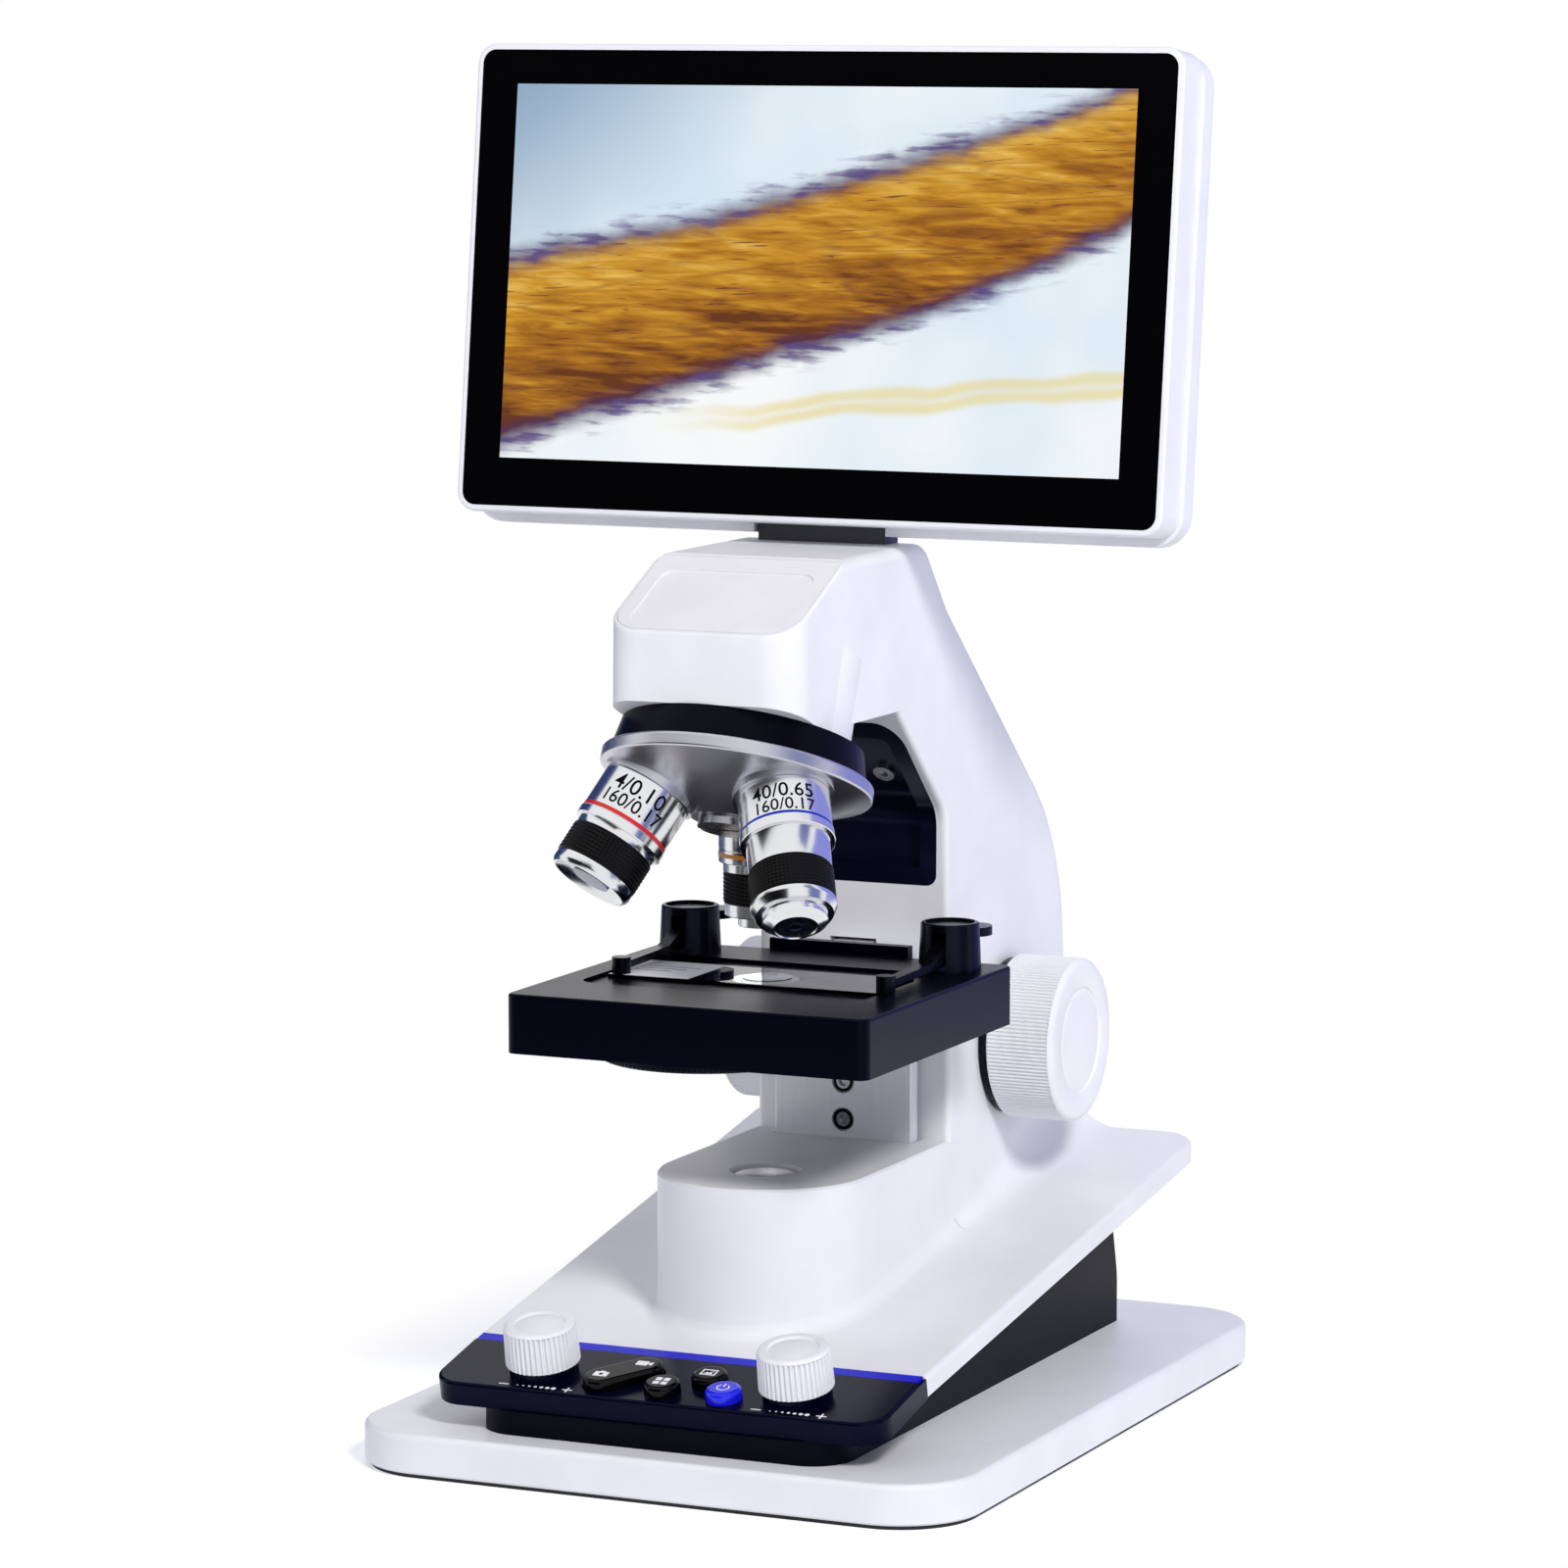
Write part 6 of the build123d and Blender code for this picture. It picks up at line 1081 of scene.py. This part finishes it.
@dataclass
class Turret:
    """The nosepiece disc with its three objectives."""

    def build(self) -> None:
        """Dresses the disc and builds the objectives."""
        paint(DISC, "turret_disc")
        paint(LENS, "objective_lenses")
        for objective in self.objectives():
            objective.build()

    def objectives(self) -> tuple[Objective, ...]:
        """The three objectives with their own profiles."""
        ten = Objective(
            "10x", turn=0.0, grip=(68.2, 76.7, 11.0), band=(63.2, 64.3, 12.2),
            band_finish=YELLOW_BAND, barrel=12.2, end=(82.3, 4.4),
            figures=(("10/0.25", 59.4, 2.4), ("160/0.17", 61.4, 2.0)), profile=(
                (57.6, 10.1), (57.6, 12.0), (57.8, 12.2), (62.2, 12.2), (62.4, 12.0), (62.6, 12.2),
                (65.7, 12.2), (65.9, 12.0), (65.9, 11.0), (68.2, 11.0), (68.2, 9.6), (76.7, 9.6),
                (76.7, 10.6), (79.7, 10.6), (80.0, 10.3), (80.0, 7.2), (80.2, 7.0), (82.6, 7.0),
                (82.8, 6.8), (82.8, 4.6), (82.3, 4.4)))
        forty = Objective(
            "40x", turn=120.0, grip=(79.6, 88.8, 11.0), band=(68.0, 68.7, 11.9),
            band_finish=BLUE_BAND, barrel=11.9, end=(95.25, 5.3),
            figures=(("40/0.65", 62.0, 5.6), ("160/0.17", 66.1, 4.8)), profile=(
                (57.6, 10.1), (57.6, 11.7), (57.8, 11.9), (68.7, 11.9), (68.8, 12.1), (68.95, 12.2),
                (71.1, 12.2), (71.3, 12.0), (71.4, 10.8), (71.6, 10.7), (79.6, 10.7), (79.6, 9.6),
                (88.8, 9.6), (88.8, 10.8), (89.0, 11.0), (90.0, 11.0), (90.15, 10.95), (92.0, 9.95),
                (92.0, 8.6), (92.1, 8.4), (94.0, 8.3), (94.1, 8.2), (95.6, 5.7), (95.6, 5.5),
                (95.2, 5.3)))
        four = Objective(
            "4x", turn=-120.0, grip=(74.4, 83.0, 11.5), band=(68.8, 69.85, 12.1),
            band_finish=RED_BAND, barrel=12.1, end=(84.1, 5.6), side=(0.29, -0.95, 0.13),
            figures=(("4/0.10", 61.6, 6.1), ("160/0.17", 66.0, 5.2)), profile=(
                (57.6, 10.1), (57.6, 11.9), (57.8, 12.1), (69.9, 12.1), (70.0, 12.3), (70.15, 12.4),
                (72.2, 12.4), (72.4, 12.2), (72.5, 11.2), (72.7, 11.1), (74.4, 11.1), (74.4, 9.6),
                (83.0, 9.6), (83.0, 11.0), (83.2, 11.2), (85.1, 11.2), (85.6, 11.0), (86.3, 10.4),
                (86.3, 10.0), (86.1, 9.8), (84.3, 7.0), (84.1, 5.6)))
        return ten, forty, four


@dataclass
class Stage:
    """The stage with its clips, slide and aperture disc."""

    disc_at: Triple = (-9.1, -52.7, 103.7)
    disc_radius: float = 27.3
    rim_layer: Pair = (0.35, 2.35)
    rim_width: float = 1.5
    teeth: int = 120
    tooth: float = 0.5
    slide_top: float = 122.2
    label_at: Pair = (-28.9, -33.0)
    label_half: Pair = (11.2, 12.3)
    label_corner: float = 0.4
    label_layer: Pair = (0.005, 0.07)   # heights above the slide
    line_ends: tuple[Pair, ...] = ((-37.0, -21.5), (-37.0, -24.0), (-37.0, -27.0))
    line_y: float = -29.0
    line_pitch: float = 3.4
    line_half: float = 0.25
    line_layer: Pair = (0.071, 0.085)
    sample_at: Pair = (0.0, OPTICAL_Y + 1.5)
    sample_radius: float = 3.2
    sample_layer: Pair = (0.005, 0.025)
    cover_radius: float = 6.5
    cover_layer: Pair = (0.03, 0.17)

    def build(self) -> None:
        """Dresses the stage and models its small pieces."""
        paint(STAGE_BLACK, "stage_plate", "stage_carriage")
        paint(BLACK, "clip_posts", "clip_lever_left", "clip_lever_right")
        paint(PLATE, "slide_plate")
        paint(STEEL, "slide_plate_screws", "iris_pivot")
        paint(BLACK, "iris_disc")
        paint(SLIDE_GLASS, "microscope_slide")
        self.build_rim()
        # the dark rings round the screw heads are painted shade for their counterbores
        self.build_counterbore_shade()
        self.build_slide()

    def build_rim(self) -> None:
        """Lays the toothed rim round the aperture disc."""
        outer, (low, high) = self.disc_radius + self.tooth / 2, self.rim_layer
        inner = outer - self.rim_width
        stations = (low, inner), (low, outer, self.tooth), (high, outer, self.tooth), (high, inner)
        rim = Shape().rings(stations, flutes=self.teeth, hollow=True)
        place = Matrix.Translation(self.disc_at)
        rim.save("aperture_disc_rim", BLACK, "iris", "black_metal", at=place)

    def build_counterbore_shade(self) -> None:
        """Lays a dark ring round each head on the slide plate: painted shade that stands in for the
        shadow inside its counterbore.
        """
        low, high = (Vector(corner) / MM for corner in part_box("slide_plate_screws"))
        r = (high.x - low.x) / 2
        for index, height in enumerate((high.z - r, low.z + r)):
            place = frame_at(Vector(((low.x + high.x) / 2, low.y, height)), RIGHT, FRONT)
            # a thin dark annulus just in front of the head's outer part: painted shade, not a real
            # washer
            stations = (0.01, r * 0.68), (0.08, r * 0.70), (0.08, r * 0.94), (0.01, r * 0.97)
            ring = Shape().rings(stations, hollow=True)
            ring.save(f"counterbore_shade_{index + 1}", MOUNT_BLACK, "stage", "black_metal", at=place)

    def build_slide(self) -> None:
        """Adds the label, the cover glass and the sample on the slide."""
        place = Matrix.Translation((0.0, 0.0, self.slide_top))
        outline = round_rect(self.label_half, self.label_corner, self.label_at)
        label = Shape().slab(outline, *self.label_layer)
        label.save("slide_label", PAPER, "stage", "slide_glass", edge=Edge.FLAT, at=place)
        lines = Shape()
        for index, ends in enumerate(self.line_ends):
            y = self.line_y - self.line_pitch * index
            lines.box(ends, (y - self.line_half, y + self.line_half), self.line_layer)
        lines.save("slide_label_lines", BLACK_INK, "stage", "slide_glass", edge=Edge.FLAT, at=place)
        cover = Shape().disc(self.sample_at, self.cover_radius, self.cover_layer, 64)
        cover.save("cover_glass", SLIDE_GLASS, "stage", "slide_glass", at=place)
        sample = Shape().disc(self.sample_at, self.sample_radius, self.sample_layer, 40)
        sample.save("slide_sample", SAMPLE, "stage", "slide_glass", edge=Edge.FLAT, at=place)


@dataclass
class Monitor:
    """The tilting screen."""

    width: float = 177.1
    height: float = 99.6
    layer: Pair = (0.01, 0.05)

    def build(self) -> None:
        """Dresses the screen's nodes and adds the lit picture."""
        paint(SCREEN_BLACK, "screen_glass")
        paint(WHITE, "monitor_bezel", "monitor_rear_shell")
        paint(STEEL, "lcd_module", "hinge_pin", "monitor_screws")
        paint(GREEN, "display_board")
        x, y = self.width / 2, self.height / 2
        picture = Shape().box((-x, x), (-y, y), self.layer)
        finish = Micrograph("lit_picture", tuple(SCREEN_CENTRE), SCREEN_TILT, self.height)
        picture.save("lit_picture", finish, "monitor", "screen_glass", edge=Edge.FLAT,
                     at=SCREEN_FRAME)


# ---- studio
@dataclass(frozen=True)
class Lamp:
    """One soft area lamp aimed at the object's middle."""

    name: str
    at: Triple
    size: float
    watts: float
    colour: Colour = (1.0, 1.0, 1.0)
    target: Triple = (0.0, 0.0, 170.0)

    def build(self) -> None:
        """Hangs the lamp."""
        data = bpy.data.lights.new(self.name, "AREA")
        data.shape = "SQUARE"
        data.size = self.size * MM
        data.energy = self.watts
        data.color = self.colour
        eye = Vector(self.at)
        away = eye - Vector(self.target)
        lamp = add_object(self.name, data)
        lamp.matrix_world = frame_at(eye * MM, UP.cross(away), away)
        lamp.visible_glossy = False


@dataclass(frozen=True)
class Card:
    """A coloured card that stands out of view, so that only reflections show it."""

    name: str
    azimuth: float                      # degrees from the front towards the right
    distance: float
    size: Pair
    colour: Colour

    def build(self) -> None:
        """Stands the card on the floor, facing the object."""
        tree = Tree(self.name)
        glow = tree.node("Emission", {"Color": self.colour, "Strength": 1.0})
        turn = math.radians(self.azimuth)
        away = Vector((math.sin(turn), -math.cos(turn), 0.0))
        place = frame_at(away * self.distance + UP * self.size[1] / 2, UP.cross(away), -away)
        card = Shape().sheet(*self.size).to_object(self.name, tree.end(glow), place)
        for kind in ("camera", "diffuse", "shadow", "transmission"):
            setattr(card, "visible_" + kind, False)


@dataclass
class Studio:
    """Floor, lights, world and camera."""

    eye: Triple = (670.8, -1501.4, 382.3)
    back: Triple = (0.40990, -0.90301, 0.12864)
    lens: float = 143.92
    footprint: Pair = (0.095, 0.108)    # half the base, in metres
    fade: Pair = (0.005, 0.075)         # where the floor starts and ends turning white, in metres
    floor_size: float = 24000.0
    floor_glow: float = 0.40
    world_light: float = 0.39
    parts: tuple[Any, ...] = (
        Lamp("key", (1200.0, -1150.0, 1400.0), 380.0, 27.0, (1.0, 0.99, 0.98)),
        Lamp("fill", (-1200.0, -1300.0, 600.0), 1100.0, 6.0),
        Lamp("side", (1700.0, 300.0, 500.0), 900.0, 4.5, (0.84, 0.86, 1.0)),
        Lamp("back", (-700.0, 1700.0, 800.0), 900.0, 9.0),
        Card("card_front", -24.0, 700.0, (1040.0, 545.0), (0.002, 0.002, 0.003)),
        Card("card_left", -112.0, 900.0, (760.0, 1500.0), (0.03, 0.05, 0.16)),
        Card("card_right", 78.0, 1000.0, (560.0, 1500.0), (0.16, 0.20, 0.46)),
        Card("card_behind", 155.0, 650.0, (1300.0, 1500.0), (0.30, 0.31, 0.80)),
    )

    def build(self) -> None:
        """Sets up everything that isn't part of the object."""
        self.build_floor()
        self.build_world()
        for part in self.parts:
            part.build()
        data = bpy.data.cameras.new("camera")
        data.sensor_width = 36.0
        data.sensor_fit = "HORIZONTAL"
        data.lens = self.lens
        data.clip_end = 50.0
        camera = add_object("camera", data)
        back = Vector(self.back)
        camera.matrix_world = frame_at(Vector(self.eye) * MM, UP.cross(back), back)
        bpy.context.scene.camera = camera
        bpy.context.scene.view_settings.view_transform = "Standard"

    def build_floor(self) -> None:
        """Lays a pale floor that shows white to the camera but keeps the shadow."""
        tree = Tree("floor")
        white = (1.0, 1.0, 1.0)
        plain = tree.node("BsdfDiffuse", {"Color": (0.86, 0.87, 0.90)})
        glow = tree.node("Emission", {"Color": white, "Strength": self.floor_glow})
        bright = tree.node("Emission", {"Color": white, "Strength": 1.0})
        both = tree.node("AddShader", {0: plain, 1: glow})
        x, y, _ = tree.split(tree.place())
        beside = tree.math("MAXIMUM", abs(x) - self.footprint[0], 0.0)
        beyond = tree.math("MAXIMUM", abs(y) - self.footprint[1], 0.0)
        reach = tree.math("SQRT", beside * beside + beyond * beyond)
        near = tree.node("MixShader", {0: reach.smooth(*self.fade), 1: both, 2: bright})
        seen = tree.rays("Is Camera Ray", "Is Glossy Ray")
        mixed = tree.node("MixShader", {0: seen, 1: plain, 2: near})
        floor = Shape().sheet(self.floor_size, self.floor_size).to_object("floor", tree.end(mixed))

    def build_world(self) -> None:
        """Makes the world white to look at, directly, in reflections and through glass."""
        tree = Tree("studio", world=True)
        seen = tree.rays("Is Camera Ray", "Is Glossy Ray", "Is Transmission Ray")
        light = tree.node("Background", {0: (0.84, 0.85, 1.0), 1: self.world_light})
        white = tree.node("Background", {0: (1.0, 1.0, 1.0), 1: 1.0})
        mixed = tree.node("MixShader", {0: seen, 1: light, 2: white})
        bpy.context.scene.world = tree.end(mixed)


def main() -> None:
    """Builds the sub-assemblies in order, from the base up, and then the studio."""
    logging.basicConfig(level=logging.INFO, format="%(message)s")
    for assembly in (Base, Body, ControlPanel, FocusDrive, Stage, Turret, Monitor, Studio):
        log.info("building %s", assembly.__name__)
        assembly().build()


if __name__ == "__main__":
    main()
